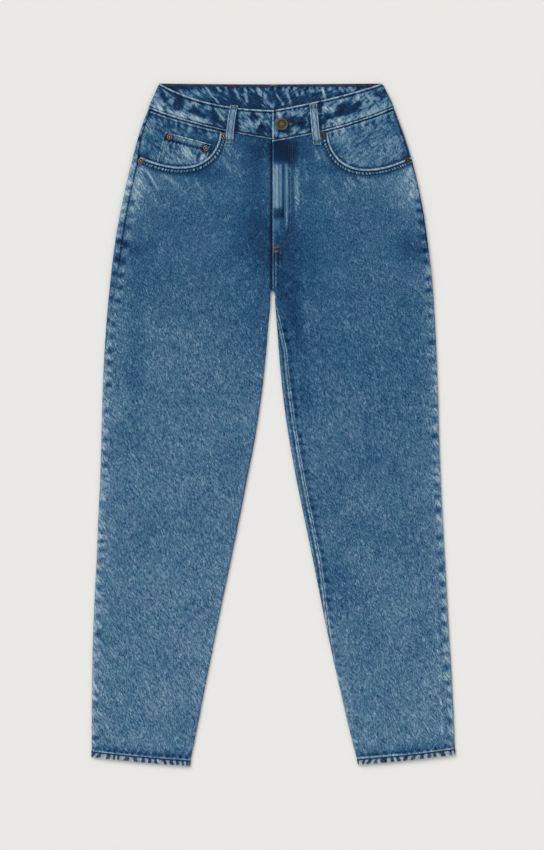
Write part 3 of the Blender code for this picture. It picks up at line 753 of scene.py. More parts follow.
FRONT_CREASES = (
    (-60, 98, -36, 112, 5, 0.5), (-74, 106, -50, 140, 6, 0.5), (-198, 140, -168, 190, 6, 0.6),
    (-186, 134, -150, 166, 5, 0.5), (-214, 150, -196, 204, 6, 0.5), (-214, 196, -186, 224, 7, 0.5),
    (186, 138, 152, 160, 5, 0.5), (200, 140, 170, 176, 6, 0.6), (212, 168, 184, 186, 6, 0.5),
    (60, 98, 78, 150, 6, 0.4), (-28, 118, -16, 176, 6, -0.4), (-30, 250, -70, 300, 9, 0.5),
    (-18, 286, -52, 340, 8, 0.5), (8, 262, 60, 300, 9, 0.5), (16, 300, 66, 352, 8, 0.5),
    (36, 160, 34, 214, 4, 0.5), (-8, 300, -30, 396, 7, 0.5), (26, 330, 58, 440, 9, -0.5),
    (-150, 560, -90, 600, 26, 0.5), (120, 600, 180, 640, 26, 0.5), (-210, 700, -150, 690, 30, -0.4),
    (150, 800, 210, 770, 30, 0.4),
)
HIP_STREAKS = (
    (-193, 126, -173, 162, 1.6, 34), (-197, 130, -178, 164, 2.2, -20), (-212, 154, -196, 172, 2.0, 24),
    (-214, 172, -200, 190, 2.2, 20), (-170, 134, -148, 152, 2.2, 24), (-160, 136, -130, 166, 1.8, 18),
    (-119, 144, -104, 168, 1.6, 22), (-134, 138, -124, 160, 1.6, 18), (-100, 150, -84, 176, 1.6, 16),
    (-78, 88, -64, 108, 2.2, 26), (-70, 88, -52, 116, 2.0, 22), (-80, 108, -62, 136, 2.0, 24),
    (-150, 150, -138, 170, 1.5, 16), (-183, 168, -166, 196, 1.6, 16), (-60, 120, -46, 150, 1.6, 14),
    (-116, 160, -98, 196, 1.5, 14), (-206, 140, -192, 160, 2.0, 18), (110, 141, 122, 156, 2.2, 30),
    (103, 146, 117, 163, 1.8, 24), (122, 139, 140, 149, 2.2, 22), (60, 96, 70, 116, 2.4, 28),
    (70, 98, 80, 122, 2.0, 22), (206, 128, 196, 150, 3.0, 18), (211, 150, 202, 172, 2.5, 18),
    (150, 138, 170, 131, 2.4, 16), (86, 158, 98, 178, 1.8, 16), (130, 150, 118, 140, 2.0, -16),
    (44, 120, 52, 150, 2.0, 14), (176, 138, 160, 160, 2.0, 14),
)


def hem_band(depth_up, s, rope):
    """The hem's relief and tone: a double band with slanting puckers, and a trough along its stitching."""
    inside = smoothstep((HEM_DEPTH - depth_up) / 1.2)
    above = depth_up > HEM_DEPTH
    far = np.maximum(depth_up - HEM_DEPTH - 1.8, 0)
    ropes = rope(s - 0.5 * depth_up)
    ticks = np.clip(rope(s * 1.3 + 1.1 * depth_up + 40) - 0.3, 0, 1)
    relief = 0.75 * inside + 0.4 * ropes * inside - above * 0.35 * np.exp(-far / 8)
    relief += lines(depth_up - HEM_DEPTH, (-HEM_STITCH, 0.9, -0.7))
    tone = 2 * inside + lines(depth_up, (0, 0.9, 40))
    tone += lines(depth_up - HEM_DEPTH, (0.3, 1.1, 82), (-1.8, 1.0, -104))
    shade = (depth_up > HEM_DEPTH + 1.2) * 80 * (0.8 + 0.4 * ropes)
    return relief, tone + (above * 60 * ticks - shade) * np.exp(-far / 6)


def seam_puckers(side, edge, s, distance):
    """Short puckers across a seam's edge: the wave along the seam, a bell across it and paler tops."""
    wave = SEAM_PUCKERS[side, edge](s)
    reach = bell((distance - 6.5) / 5.0)
    return 0.5 * wave * reach, 66 * np.minimum(wave, 0.25) * reach


def fly_form(x, down):
    """The doubled cloth of the fly, its J of stitching, its worn ridges and its pale edge."""
    foot = np.clip((FLY_END_DOWN - down) / FLY_WIDTH, 0, 1)
    width = FLY_WIDTH * np.sqrt(1 - (1 - foot) ** 2)
    across = x - CENTRE_X
    raised = smoothstep((width + 1.5 - across) / 3) * smoothstep((FLY_END_DOWN + 3 - down) / 6)
    groove = lines(across - width, (-FLY_OUTER, 0.8, 1), (-FLY_INNER, 0.8, 1))
    groove *= (down < FLY_END_DOWN) & (foot > 0)
    stripes = boxes(x, down, FLY_STRIPES)
    return 0.8 * raised - 0.35 * groove + 0.012 * stripes, stripes - 14 * groove


def front_form(side, arc, down):
    """The relief in millimetres and the tone on a front panel."""
    ring = Ring(side, down)
    x, _, share = ring.point(arc, 0)
    from_side, from_inner, from_centre = arc - ring.side_seam, ring.inner_seam - arc, x - CENTRE_X
    hem_up = (edge_down(HEM_EDGE[SIDE_NAME[side]], share) - down) * DOWN_TO_CLOTH
    over_crotch = down < CROTCH_DOWN
    relief = creases(x, down, FRONT_CREASES)
    tone = leg_tone(side, x, down) + 13 * relief + 1.4 * creases(x, down, HIP_STREAKS)
    # Painted shadow: a dark line on the panel just below the pocket's roped hem.
    near_pocket = smoothstep((230 - np.abs(x)) / 20)
    tone += near_pocket * lines(down - scoop_down(side, x, POCKET_HEM), (0.5, 2.6, -26))

    side_relief, side_tone = seam_puckers(side, "side", down, from_side)
    on_legs = smoothstep((down - 130) / 40) * smoothstep((hem_up - 8) / 20)
    relief += side_relief * on_legs
    tone += side_tone * on_legs + EDGE_RUB[side] * fade(arc, 8.5) * smoothstep((down - 230) / 60)
    inner_relief, inner_tone = seam_puckers(side, "inner", down, from_inner + 3)
    on_inner = ~over_crotch * smoothstep((down - 320) / 60) * smoothstep((hem_up - 8) / 20)
    relief += 0.5 * inner_relief * on_inner
    tone += (0.6 * inner_tone + INNER_RUB[side] * fade(from_inner, 9)) * on_inner

    if side == LEFT:
        hip = smoothstep((down - 114) / 8) * smoothstep((340 - down) / 90)
        tone += hip * lines(from_side, (9, 6, 22), (0, 1.0, -70))
        shade = over_crotch * lines(from_centre, (-0.8, 2.6, 1))
        tone -= 52 * shade
        relief -= 0.35 * shade
    else:
        low_leg = smoothstep((down - 700) / 160) * smoothstep((hem_up - 6) / 8)
        dents = np.clip(SEAM_PUCKERS[side, "side"](down * 1.4), 0, 1)
        tone += low_leg * (lines(from_side, (19, 1.3, 24)) + dents * lines(from_side, (13.5, 2.4, -34)))
        beside_pocket = smoothstep((down - 96) / 8) * smoothstep((262 - down) / 30)
        tone += beside_pocket * lines(from_side, (1.6, 1.2, -60))
        thigh = smoothstep((down - 330) / 40) * smoothstep((840 - down) / 60)
        tone += thigh * lines(from_inner, (3, 3.5, -22.4))
        fly_relief, fly_tone = fly_form(x, down)
        edge = over_crotch * lines(from_centre, (1.3, 1.1, 1))
        under_fly = over_crotch * smoothstep((down - FLY_END_DOWN) / 6)
        tone += fly_tone + 48 * edge
        tone += under_fly * lines(from_centre, (5.2, 1.3, 40), (3.1, 1.0, -34), (8.2, 1.4, -26))
        relief += fly_relief + 0.25 * edge

    hem_relief, hem_tone = hem_band(hem_up, arc, HEM_ROPE[side])
    # The panel dips just below the waist seam, and its tone is darkened there with painted shade under the
    # band.
    waist = down - edge_down(WAIST_SEAM[SIDE_NAME[side]], share)
    relief += hem_relief - 0.3 * fade(waist, 3)
    tone = np.where(hem_up < HEM_DEPTH, HEM_TONE, tone) + hem_tone - 20 * fade(waist, 4)
    return relief, tone


def mark_wear(piece, side):
    """Two more attributes for a leg's cloth: its worn hem, and where the fly is pressed smooth."""
    place = np.zeros(len(piece.data.vertices) * 3)
    piece.data.vertices.foreach_get("co", place)
    x, down = place[0::3] / MM, LENGTH / 2 - place[1::3] / MM
    ring = Ring(side, down)
    hem_up = edge_down(HEM_EDGE[SIDE_NAME[side]], (ring.outer - side * x) / ring.width) - down
    hem = smoothstep((HEM_DEPTH - 2.3 - hem_up) / 1.2)
    for name, values in (("hem", hem), ("calm", boxes(x, down, FLY_CALM))):
        piece.data.attributes.new(name, "FLOAT", "POINT").data.foreach_set("value", values)


# %% The scooped pocket opening


def keep_flat(x, down, places):
    """One away from the given places and zero at them, where something is fastened on."""
    kept = np.ones(np.shape(x))
    for place_x, place_down in places:
        kept = kept * smoothstep((np.hypot(x - place_x, down - place_down) - FASTENED) / 2.5)
    return kept


def cubic(points, count):
    """Points along the cubic curve through the first and the last of four points."""
    t = np.linspace(0, 1, count)[:, None]
    weights = np.concatenate([(1 - t) ** 3, 3 * t * (1 - t) ** 2, 3 * t * t * (1 - t), t ** 3], axis=1)
    return weights @ np.array(points, float)


def moved_in(line, offset):
    """A line in (x, down), moved square to itself, away from the opening."""
    along = np.gradient(line, axis=0)
    along /= np.linalg.norm(along, axis=1, keepdims=True)
    return line + offset * np.stack([-along[:, 1], along[:, 0]], axis=-1)


SCOOP_LINE = {side: np.concatenate([cubic(SCOOP[side], 60),
                                    np.linspace(SCOOP[side][-1], SCOOP_SIDE_POINT[side], 12)[1:]])
              for side in (LEFT, RIGHT)}


def scoop_down(side, x, offset=0):
    """How far down the pocket's opening lies at an x, with its line moved out by an offset."""
    line = moved_in(SCOOP_LINE[side], offset)
    return np.interp(np.abs(x), line[:, 0], line[:, 1], left=0)


def front_top(side, x, share):
    """The panel's upper edge: the waist seam, or the middle of the pocket's hem where that is lower."""
    seam = edge_down(WAIST_SEAM[SIDE_NAME[side]], share) + SEAM_GAP / 2
    return np.maximum(seam, scoop_down(side, x, POCKET_HEM * 0.55))


def front_grid(side, columns, rows):
    """The arcs and downs of a front panel's grid, between its seams and from its upper edge to the hem."""
    v = rows[:, None] / rows[-1]

    def arc_of(ring):
        start, end = ring.side_seam + SEAM_GAP / 2, ring.inner_seam - SEAM_GAP / 2
        return start + (end - start) * columns / columns[-1]

    def down_of(share, _, x):
        top = front_top(side, x, share)
        return top + (edge_down(HEM_EDGE[SIDE_NAME[side]], share) - top) * v
    return settled(side, np.linspace(100, LENGTH, len(rows))[:, None] + 0 * columns, arc_of, down_of)


def cloth_shell(form, side, arc, down, flip):
    """A closed shell on the rings, moved out by its form's relief."""
    relief, tone = form(side, arc, down)
    outer = cloth_at(side, arc, down, -np.maximum(relief, -0.8))
    outer[..., 2] = np.maximum(outer[..., 2], FLOOR_CLEAR)
    return shell_arrays(outer, cloth_at(side, arc[FEW], down[FEW], CLOTH), tone, flip)


def pocket_hem(side):
    """The roped edge of the opening: the panel's cloth turned under and sewn twice, as a strip along the
    scoop. Its section is a low cushion with two troughs for the stitching."""
    across = np.concatenate([np.arange(0, 2, 0.33), np.arange(2, POCKET_HEM - 1.2, 0.42)])
    across = np.append(across, np.linspace(across[-1], POCKET_HEM, 5 + (-len(across) - 1) % 4)[1:])
    opening = SCOOP_LINE[side]
    s_all = np.concatenate([[0], np.cumsum(np.hypot(*np.diff(opening, axis=0).T))])
    s = np.linspace(0, s_all[-1], 241)
    path = np.stack([np.interp(s, s_all, opening[:, k]) for k in (0, 1)], axis=-1)
    strip = np.stack([moved_in(path, offset) for offset in across], axis=1)
    x, down = strip[..., 0] * side, strip[..., 1]
    ring = Ring(side, down)
    arc = ring.arc(x)
    seam = edge_down(WAIST_SEAM[SIDE_NAME[side]], (ring.outer - side * x) / ring.width)
    inside = (arc.min(axis=1) > ring.side_seam.max(axis=1) + 0.3) & ((down - seam).min(axis=1) > 0.2)
    first_row, last_row = np.flatnonzero(inside)[[0, -1]]
    rows = slice(last_row - (last_row - first_row) // 4 * 4, last_row + 1)
    arc, x, down, s = arc[rows], x[rows], down[rows], s[rows, None]

    rope = HEM_TWIST[side](s - 0.4 * across)
    cushion = smoothstep(across / 0.9) * smoothstep((POCKET_HEM - across) / 1.2)
    first, last = HEM_STITCHES
    troughs = lines(across, (first, 0.7, 0.3), (last, 0.7, 0.3))
    flat = keep_flat(x, down, RIVETS.values())
    relief = cushion * (0.9 + (0.95 - troughs + rope * lines(across, (7, 2.0, 0.16))) * flat) - 0.9
    tone = 74 + 76 * smoothstep(across / 0.7) * smoothstep((3.8 - across) / 1.3)
    tone += lines(across, (first, 1.0, -84), (last, 1.0, -88), (7.0, 2.0, 14))
    tone = tone + rope * lines(across, (7.4, 1.9, 92)) - 20 * (1 - flat) * (across > 2)
    tone -= 20 * smoothstep((across - POCKET_HEM + 0.6) / 0.6)
    outer, inner = cloth_at(side, arc, down, -relief), cloth_at(side, arc, down, CLOTH)
    return shell_arrays(outer, inner, tone, side == RIGHT)


# %% Making the front panels
for side in (LEFT, RIGHT):
    name = SIDE_NAME[side]
    arc, down = front_grid(side, spaced(252, 2.5, 0.8, 11), spaced(930, 2.6, 0.9, 9))
    part = joined([cloth_shell(front_form, side, arc, down, side == RIGHT), pocket_hem(side)])
    grid = cloth_at(side, arc, down, 0)
    mark_wear(cloth(f"front_{name}", LEG_DENIM, (0.262, 0.956), grid, part), side)

# %% [markdown]
# ## Back panels and yokes
#
# The back lies underneath. It shows only where a seam has rolled onto the front: a strip down the left hip
# and the lapped seam inside the right leg. It is still finished all over, with its yoke, its hem and its
# own puckers, and its underside stays flat where it rests.

# %% The back's relief and tone
LAP_WIDTH = 9.0
SEAM_STITCH = 1.8
YOKE_FRONT = (YOKE_SEAM[0], 116, YOKE_SEAM[2])  # the yoke seam where it has rolled onto the front


def back_form(side, arc, down):
    """The relief and tone of a back panel or yoke. Arcs run below zero on the back."""
    ring = Ring(side, down)
    x, _, share = ring.point(arc, 0)
    from_side, to_inner = ring.side_seam - arc, arc - ring.back_inner_seam
    hem_up = (edge_down(HEM_EDGE[SIDE_NAME[side]], share) - down) * DOWN_TO_CLOTH
    tone = leg_tone(side, x, down) + 14 * np.exp(-np.abs(arc) / 14) * smoothstep((down - 90) / 60)
    side_relief, side_tone = seam_puckers(side, "side", down + 4, from_side + 2)
    relief = 0.5 * side_relief * smoothstep((hem_up - 8) / 20)
    rolled = (arc > 0) * smoothstep((300 - down) / 80)
    wave = 44 + 34 * SEAM_PUCKERS[side, "side"](down * 1.7)
    tone += side_tone + rolled * (wave + lines(from_side, (0, 1.5, -90), (4.4, 1.0, -24)))
    below_crotch = down > CROTCH_DOWN + 6
    lap = smoothstep((LAP_WIDTH - to_inner) / 1.2) * below_crotch * smoothstep((hem_up - 8) / 4)
    stitches = lines(to_inner, (SEAM_STITCH, 0.8, 1), (LAP_WIDTH - SEAM_STITCH, 0.8, 1))
    wave = SEAM_PUCKERS[side, "inner"](down)
    relief += lap * (0.55 + 0.16 * wave - 0.35 * stitches)
    tone += lap * (-8 + 18 * wave - 34 * stitches + lines(to_inner, (3.9, 1.0, 74)))
    tone += below_crotch * lines(to_inner, (0.5, 1.2, 84), (LAP_WIDTH + 2.5, 2.5, 20))
    relief -= (~below_crotch & (arc < 0)) * lines(to_inner, (SEAM_STITCH, 0.8, 0.3), (8, 0.8, 0.3))
    hem_relief, hem_tone = hem_band(hem_up, arc, HEM_ROPE[side])
    relief += hem_relief
    tone = np.where(hem_up < HEM_DEPTH, HEM_TONE, tone) + hem_tone
    floor_side = (arc < -ring.fold) & (arc > -ring.length + ring.inner_fold)
    relief = np.where(floor_side, np.minimum(relief, 0) - 0.25 * smoothstep((-arc - ring.fold) / 3), relief)
    return relief, tone


def back_grid(side, rows, top_edge, bottom_edge):
    """The arcs and downs of a back panel's grid, from the side seam round the back to the inner seam. An edge
    is a curve on the front's arcs, a curve on the back's and a shift."""
    columns, v = spaced(262, 3.4, 0.9, 7), rows[:, None] / rows[-1]

    def arc_of(ring):
        start, end = ring.side_seam - SEAM_GAP / 2, ring.back_inner_seam + SEAM_GAP / 2
        return start + (end - start) * columns / columns[-1]

    def down_of(share, arc, _):
        top, bottom = (np.where(arc >= 0, edge_down(front, share), edge_down(back, share)) + shift
                       for front, back, shift in (top_edge, bottom_edge))
        return top + (bottom - top) * v
    return settled(side, np.linspace(100, 900, len(rows))[:, None] + 0 * columns, arc_of, down_of)


for side in (LEFT, RIGHT):
    name = SIDE_NAME[side]
    hem = (HEM_EDGE[name], HEM_EDGE[name], 0)
    waist = (WAIST_SEAM[name], WAIST_SEAM["back"], SEAM_GAP / 2)
    for kind, rows, top, bottom, size in (
            ("yoke", spaced(48, 2.6, 1.2, 5), waist, (YOKE_FRONT, YOKE_SEAM, -SEAM_GAP / 2), (0.215, 0.068)),
            ("back", spaced(930, 3.6, 1.1, 9), (YOKE_FRONT, YOKE_SEAM, SEAM_GAP / 2), hem, (0.282, 0.962))):
        arc, down = back_grid(side, rows, top, bottom)
        part = cloth_shell(back_form, side, arc, down, side == LEFT)
        grid = cloth_at(side, arc, down, 0)
        mark_wear(cloth(f"{kind}_{name}", LEG_DENIM, size, grid, part), side)

# %% [markdown]
# ## Waistband
#
# The waistband is one strip, from the underlap at the centre front, round the back, to the end that laps
# over it. Its inside shows above the front, so both faces are as finely divided. Its upper edge is rubbed
# pale, stitching runs along both edges, and it creases where the body bends it.

# %% The band's sizes, creases and patches
BAND_PROUD = 0.7  # how far the band stands out of the panels' outer face
BAND_WALL = 2.4
BAND_LAP = 30
BAND_DIVE, BAND_DIVE_LENGTH = 2.7, 22  # how deep the underlap dives, and over what length
BAND_STITCH = 2.5  # from either edge
BAND_CREASES = (
    (-144, 20, -133, 33, 4, -26), (-170, 15, -161, 28, 4, -24), (-97, 31, -78, 66, 6.5, -28),
    (-126, 38, -100, 52, 5, -30), (-150, 28, -136, 38, 5, -22), (-118, 22, -104, 36, 4, -20),
    (-180, 22, -166, 38, 3, 30), (-91, 34, -74, 58, 2.5, 34), (-122, 24, -112, 34, 5, 26),
    (-100, 28, -94, 44, 3, 22), (-171, 37, -164, 48, 2.5, 40), (-161, 36, -155, 47, 2.5, 44),
    (-154, 40, -147, 52, 2.2, 44), (-147, 42, -140, 52, 2.2, 40), (-139, 44, -132, 55, 2.5, 36),
    (-130, 50, -98, 58, 3.5, 30), (-182, 34, -168, 42, 5, 30), (-158, 24, -150, 30, 3, 20),
    (-86, 60, -76, 68, 4, 26), (-136, 26, -130, 40, 3, 16), (-49, 42, -30, 68, 2.5, 36),
    (-15, 45, -28, 70, 2.5, 36), (-44, 60, -38, 74, 5, 26), (-34, 44, -24, 54, 3.5, -26),
    (-46, 44, -44, 56, 3, -24), (-20, 60, -12, 76, 4, -24), (-50, 64, -42, 78, 3, 20),
    (-10, 46, -6, 66, 3, 20), (1, 44, 12, 50, 4, 42), (17, 40, 31, 48, 2.5, 30), (34, 42, 44, 50, 2.5, 30),
    (26, 38, 30, 46, 3, 20), (20, 52, 46, 62, 7, -24), (0, 56, 4, 78, 4, 30), (6, 76, 22, 80, 4, 22),
    (36, 56, 50, 72, 5, -18), (28, 68, 44, 74, 4, 14), (72, 37, 92, 40, 2.8, 36), (74, 48, 90, 52, 4, -34),
    (92, 50, 112, 22, 5, -34), (96, 46, 136, 30, 6, -38), (95, 28, 113, 23, 4, 30),
    (118, 28, 140, 12, 4, 30), (136, 18, 150, 24, 3.5, 28), (120, 36, 150, 28, 3, 22),
    (150, 18, 172, 14, 5, -34), (140, 28, 160, 20, 3, 18), (80, 58, 100, 54, 3, 24),
    (104, 44, 116, 38, 2.5, 24), (76, 68, 180, 34, 6, 26), (72, 56, 80, 66, 4, -16),
)
BAND_PATCHES = (
    (-180, 28, 9, 13, 18), (-150, 50, 30, 7, 20), (-118, 56, 20, 7, 18), (-140, 26, 30, 5, -6),
    (-182, 40, 14, 10, 16), (-165, 30, 10, 8, 10), (-5, 66, 56, 18, -14), (-18, 46, 50, 10, 8),
    (-130, 40, 50, 26, 3), (130, 35, 50, 25, -3),
)
INSIDE_CREASES = (
    (-102, 4, -92, 22, 2.0, 34), (-86, 3, -80, 14, 2.5, 30), (-74, 3, -68, 16, 2.5, 26),
    (-60, 5, -52, 22, 2.0, 36), (-44, 3, -40, 30, 2.0, 44), (-38, 4, -28, 14, 2.5, 26),
    (-26, 3, -18, 20, 2.0, 34), (-12, 4, -14, 24, 2.0, 34), (2, 14, 16, 34, 1.6, 34),
    (18, 6, 26, 34, 2.0, 26), (30, 4, 36, 20, 2.0, 26), (42, 8, 44, 20, 2.5, 22), (72, 6, 78, 24, 1.8, 38),
    (84, 4, 92, 14, 3.0, 22), (100, 4, 104, 14, 2.5, 26), (114, 4, 120, 12, 2.5, 22),
    (-120, 4, -114, 16, 2.5, 22), (-16, 26, 2, 36, 6, 24), (54, 4, 60, 14, 3, 20), (8, 3, 10, 9, 3, -22),
)
# Painted light: paler patches on the band's inside near its left end, offsetting the shade that falls there.
INSIDE_PAINTED_LIGHT = ((-122, 12, 36, 14, 14), (-160, 6, 16, 8, 12))
FRONT_WAVE, BACK_WAVE = uneven_wave(61, 460, 15), uneven_wave(67, 460, 15)
FRONT_TEETH, BACK_TEETH = uneven_wave(71, 460, 6.5), uneven_wave(73, 460, 6.5)
LOOP_X = (-63, 61.5)
BACK_LOOP_X = {"left": -104, "centre": 0, "right": 104}
BUTTON_PLACE = (11.9, 61.4)


def band_form(x, down, v, depth_down, depth_up, front):
    """The relief and tone of the band's outer face, from the distances to its two edges."""
    wave = np.where(front, FRONT_WAVE(x + 0.3 * down), BACK_WAVE(x + 0.3 * down))
    teeth = np.where(front, FRONT_TEETH(x), BACK_TEETH(x))
    marks = np.where(front, creases(x, down, BAND_CREASES) + patches(x, down, BAND_PATCHES),
                     12 * FRONT_WAVE(x * 1.3 - down))
    relief = 0.18 * wave * np.sin(np.pi * v) + 0.02 * marks
    relief += teeth * (lines(depth_down, (3.5, 2.5, 0.22)) + lines(depth_up, (4, 3, 0.2)))
    relief += lines(depth_down, (BAND_STITCH, 0.7, -0.35), (0, 0.5, -0.35))
    relief += lines(depth_up, (BAND_STITCH, 0.7, -0.35), (0, 0.8, -0.3))
    tone = 84 + 4 * smoothstep((x - 30) / 60) + 1.55 * marks + 14 * wave + teeth * lines(depth_up, (8, 5, 18))
    tone += np.where(front, 82, -20) * lines(depth_down, (0.5, 1.3, 1)) + lines(depth_down, (3.3, 1.2, -62))
    tone += lines(depth_up, (1.2, 0.9, 46), (3.2, 1.0, -62), (0, 0.7, -40))
    return relief, tone + np.clip(teeth, 0, 1) * (x < 40) * lines(depth_down, (5.4, 1.9, -70))


def band_grid(side):
    """The band's arcs and downs on one side, from left to right. The left side has the underlap."""
    top, seam = WAIST_TOP[SIDE_NAME[side]], WAIST_SEAM[SIDE_NAME[side]]
    at_top = Ring(side, np.array([0.0]))
    fold, length = at_top.fold[0], at_top.length[0]
    reach = length + (BAND_LAP if side == LEFT else 0)
    strip = spaced(reach + length, 1.45, 0.4, 3)
    strip = reach - strip if side == LEFT else strip - length
    v = spaced(40, 1.15, 0.35, 1.6)[:, None] / 40

    def arc_of(ring):
        stretch = (ring.length - ring.fold) / (length - fold)
        flat = np.sign(strip) * (ring.fold + (np.abs(strip) - fold) * stretch)
        return np.where(np.abs(strip) > fold, flat, strip * ring.fold / fold)

    def down_of(share, arc, _):
        low = np.where(arc >= 0, seam[1], WAIST_SEAM["back"][1]) - SEAM_GAP
        high = np.where(arc >= 0, top[1], WAIST_TOP["back"][1])
        start = top[0] + (seam[0] - SEAM_GAP - top[0]) * v
        return edge_down((start, high + v * (low - high), top[2] + (seam[2] - top[2]) * v), share)
    return settled(side, 38 * v + 0 * strip, arc_of, down_of)


def band_points(side, arc, down, depth):
    """The band's points. Its left end dives under the end that laps over it."""
    points = cloth_at(side, arc, down, depth)
    if side == LEFT:
        dive = smoothstep((points[..., 0] - CENTRE_X + BAND_DIVE_LENGTH) / BAND_DIVE_LENGTH)
        points[..., 2] -= BAND_DIVE * dive * (arc > 0)
    return points


def band_faces(side, arc, down):
    """Relief and tone on the band's outer and inner face."""
    x, front = cloth_at(side, arc, down, 0)[..., 0], arc > 0
    depth_down, depth_up = down - down[:1], down[-1:] - down
    relief, tone = band_form(x, down, depth_down / (down[-1:] - down[:1]), depth_down, depth_up, front)
    flat = keep_flat(x, down, (BUTTON_PLACE,))
    for loop_x in (*LOOP_X, *BACK_LOOP_X.values()):
        flat = flat * smoothstep((np.abs(x - loop_x) - 5) / 4)
    relief = np.where(relief > 0, relief * (0.35 + 0.65 * flat), relief)
    # Painted shadows: dark lines on the band's front beside the edges of the front loops.
    tone += front * lines(x, (-55.5, 2.2, -44), (69.5, 2.2, -44), (53.5, 1.5, -26.4))
    if side == RIGHT:
        from_end = x - CENTRE_X
        stitched = smoothstep(depth_up / 3)
        tone += front * (lines(from_end, (0.8, 1.3, 90)) + stitched * lines(from_end, (3.6, 1.0, -46)))
        relief += front * lines(from_end, (3.0, 0.7, -0.35), (0, 0.6, -0.35))
    # The inside's streaks are its creases, plus the patches of painted light.
    streaks = creases(x, down, INSIDE_CREASES) + patches(x, down, INSIDE_PAINTED_LIGHT)
    teeth, folds = FRONT_TEETH(x * 0.8), np.clip(BACK_WAVE(x * 1.2), 0, 1)
    inner = 60 + 1.7 * streaks + folds * lines(depth_down, (9, 7, 26)) + teeth * lines(depth_down, (6, 3, 34))
    # The last term darkens the inside towards both ends of the waist opening: painted shade in its corners.
    inner += lines(depth_down, (2.6, 1.6, -36), (0, 1.6, -30)) - 34 * smoothstep((np.abs(x + 6) - 120) / 40)
    inner_relief = 0.012 * streaks + teeth * lines(depth_down, (5, 3, 0.2))
    inner_relief += lines(depth_down, (BAND_STITCH, 0.7, -0.35), (0, 0.5, -0.3))
    return relief, tone, inner_relief * ~front, inner


# %% Making the waistband
halves, band_rows = [], {}
for side in (LEFT, RIGHT):
    arc, down = band_grid(side)
    relief, tone, inner_relief, inner_tone = band_faces(side, arc, down)
    outer = band_points(side, arc, down, -BAND_PROUD - relief)
    inner = band_points(side, arc, down, BAND_WALL - BAND_PROUD + inner_relief)
    own = slice(int(side == RIGHT), None)  # the two sides share the column at the centre back
    halves.append([made[:, own] for made in (outer, inner, tone, inner_tone)])
    band_rows[side] = (arc, down, relief)
outer, inner, tone, inner_tone = (np.concatenate(pair, axis=1) for pair in zip(*halves))
cloth("waistband", BAND_DENIM, (0.735, 0.046), outer,
      shell_arrays(outer, inner, tone, True, inner_tone))

# %% [markdown]
# ## Pocket facings
#
# Under each scooped opening lies a facing: a piece of the same denim, sewn into the waist seam and the side
# seam, that closes the pocket from behind. Near the waist seam it puckers a little.

# %% The facings
FACING_WALL = 1.2
FACING_DEPTH = {LEFT: 2.9, RIGHT: 1.6}
FACING_SEAM_DEPTH = 1.6
FACING_SHARE = 0.71  # of the way from the side seam to the centre
FACING_FOOT = (185, 207, 0.35)
FACING_PATCHES = {
    LEFT: ((-188, 62, 8, 14, 36), (-150, 55, 20, 5, 10), (-120, 66, 12, 5, 2), (-92, 76, 10, 6, 18),
           (-190, 96, 14, 14, 4), (-176, 84, 12, 14, 2), (-95, 96, 10, 16, -10), (-178, 110, 10, 7, 16),
           (-198, 86, 5, 20, 18), (-88, 108, 6, 12, 8)),
    RIGHT: ((150, 70, 34, 12, 0), (182, 62, 8, 16, 10), (104, 84, 14, 10, 12), (140, 112, 44, 16, 8),
            (92, 104, 10, 16, -10), (172, 94, 18, 12, 12), (190, 92, 8, 16, 12), (196, 76, 5, 14, -16)),
}
FACING_BASE = {LEFT: 72, RIGHT: 84}
FACING_WAVES = {LEFT: uneven_wave(81, 260, 10), RIGHT: uneven_wave(83, 260, 10)}


def surface_top(down):
    return HEIGHTS.straight("top", down)


def facing_depth(side, down):
    """How deep a facing lies. It drops away from the waist seam to leave room for the coin pocket."""
    return FACING_SEAM_DEPTH + (FACING_DEPTH[side] - FACING_SEAM_DEPTH) * smoothstep((down - 45) / 55)


def facing(side):
    name = SIDE_NAME[side]
    columns, rows = spaced(160, 1.5, 0.8, 4), spaced(150, 1.6, 0.6, 4)

    def arc_of(ring):
        start = ring.side_seam + SEAM_GAP / 2
        return start + (ring.inner_seam - start) * FACING_SHARE * columns / columns[-1]

    def top_of(share):
        return edge_down(WAIST_SEAM[name], share) + SEAM_GAP / 2

    def down_of(share, *_):
        return top_of(share) + (edge_down(FACING_FOOT, share) - top_of(share)) * (rows / rows[-1])[:, None]
    arc, down = settled(side, np.linspace(60, 190, len(rows))[:, None] + 0 * columns, arc_of, down_of)
    ring = Ring(side, down)
    x, _, share = ring.point(arc, 0)
    from_seam, from_side = down - top_of(share), arc - ring.side_seam
    to_opening = scoop_down(side, x) - down
    wave = FACING_WAVES[side](np.abs(x))
    relief = wave * lines(from_seam, (5, 5, 0.35)) - 0.3 * np.exp(-from_seam / 1.5)
    relief *= smoothstep(to_opening / 8)
    tone = FACING_BASE[side] + 1.5 * patches(x, down, FACING_PATCHES[side])
    tone += wave * lines(from_seam, (7, 4, 30)) + lines(from_seam, (0, 1.2, -56), (2.8, 1.1, 40))
    # Painted shadow: the facing darkens towards the opening's edge, under the front's roped hem.
    tone -= 34 * smoothstep((7 - to_opening) / 8)
    if side == LEFT:
        tone += lines(from_seam, (5.2, 1.2, -30))
    else:
        tone += lines(from_side, (2, 1.6, -60), (9, 6, -18))
    low = facing_depth(side, down)
    outer = cloth_at(side, arc, down, low - relief)
    inner = cloth_at(side, arc[FEW], down[FEW], low[FEW] + FACING_WALL)
    cloth(f"pocket_facing_{name}", TRIM_DENIM, (0.158, 0.148), outer,
          shell_arrays(outer, inner, tone, side == RIGHT))


for side in (LEFT, RIGHT):
    facing(side)

# %% [markdown]
# ## Small cut pieces
#
# The coin pocket, belt loops, back pockets and the shield behind the fly are cut flat and sewn on. Each is a
# grid laid out between two edges, its upper face given by a height, a relief and a tone.

# %% A small piece from a plan


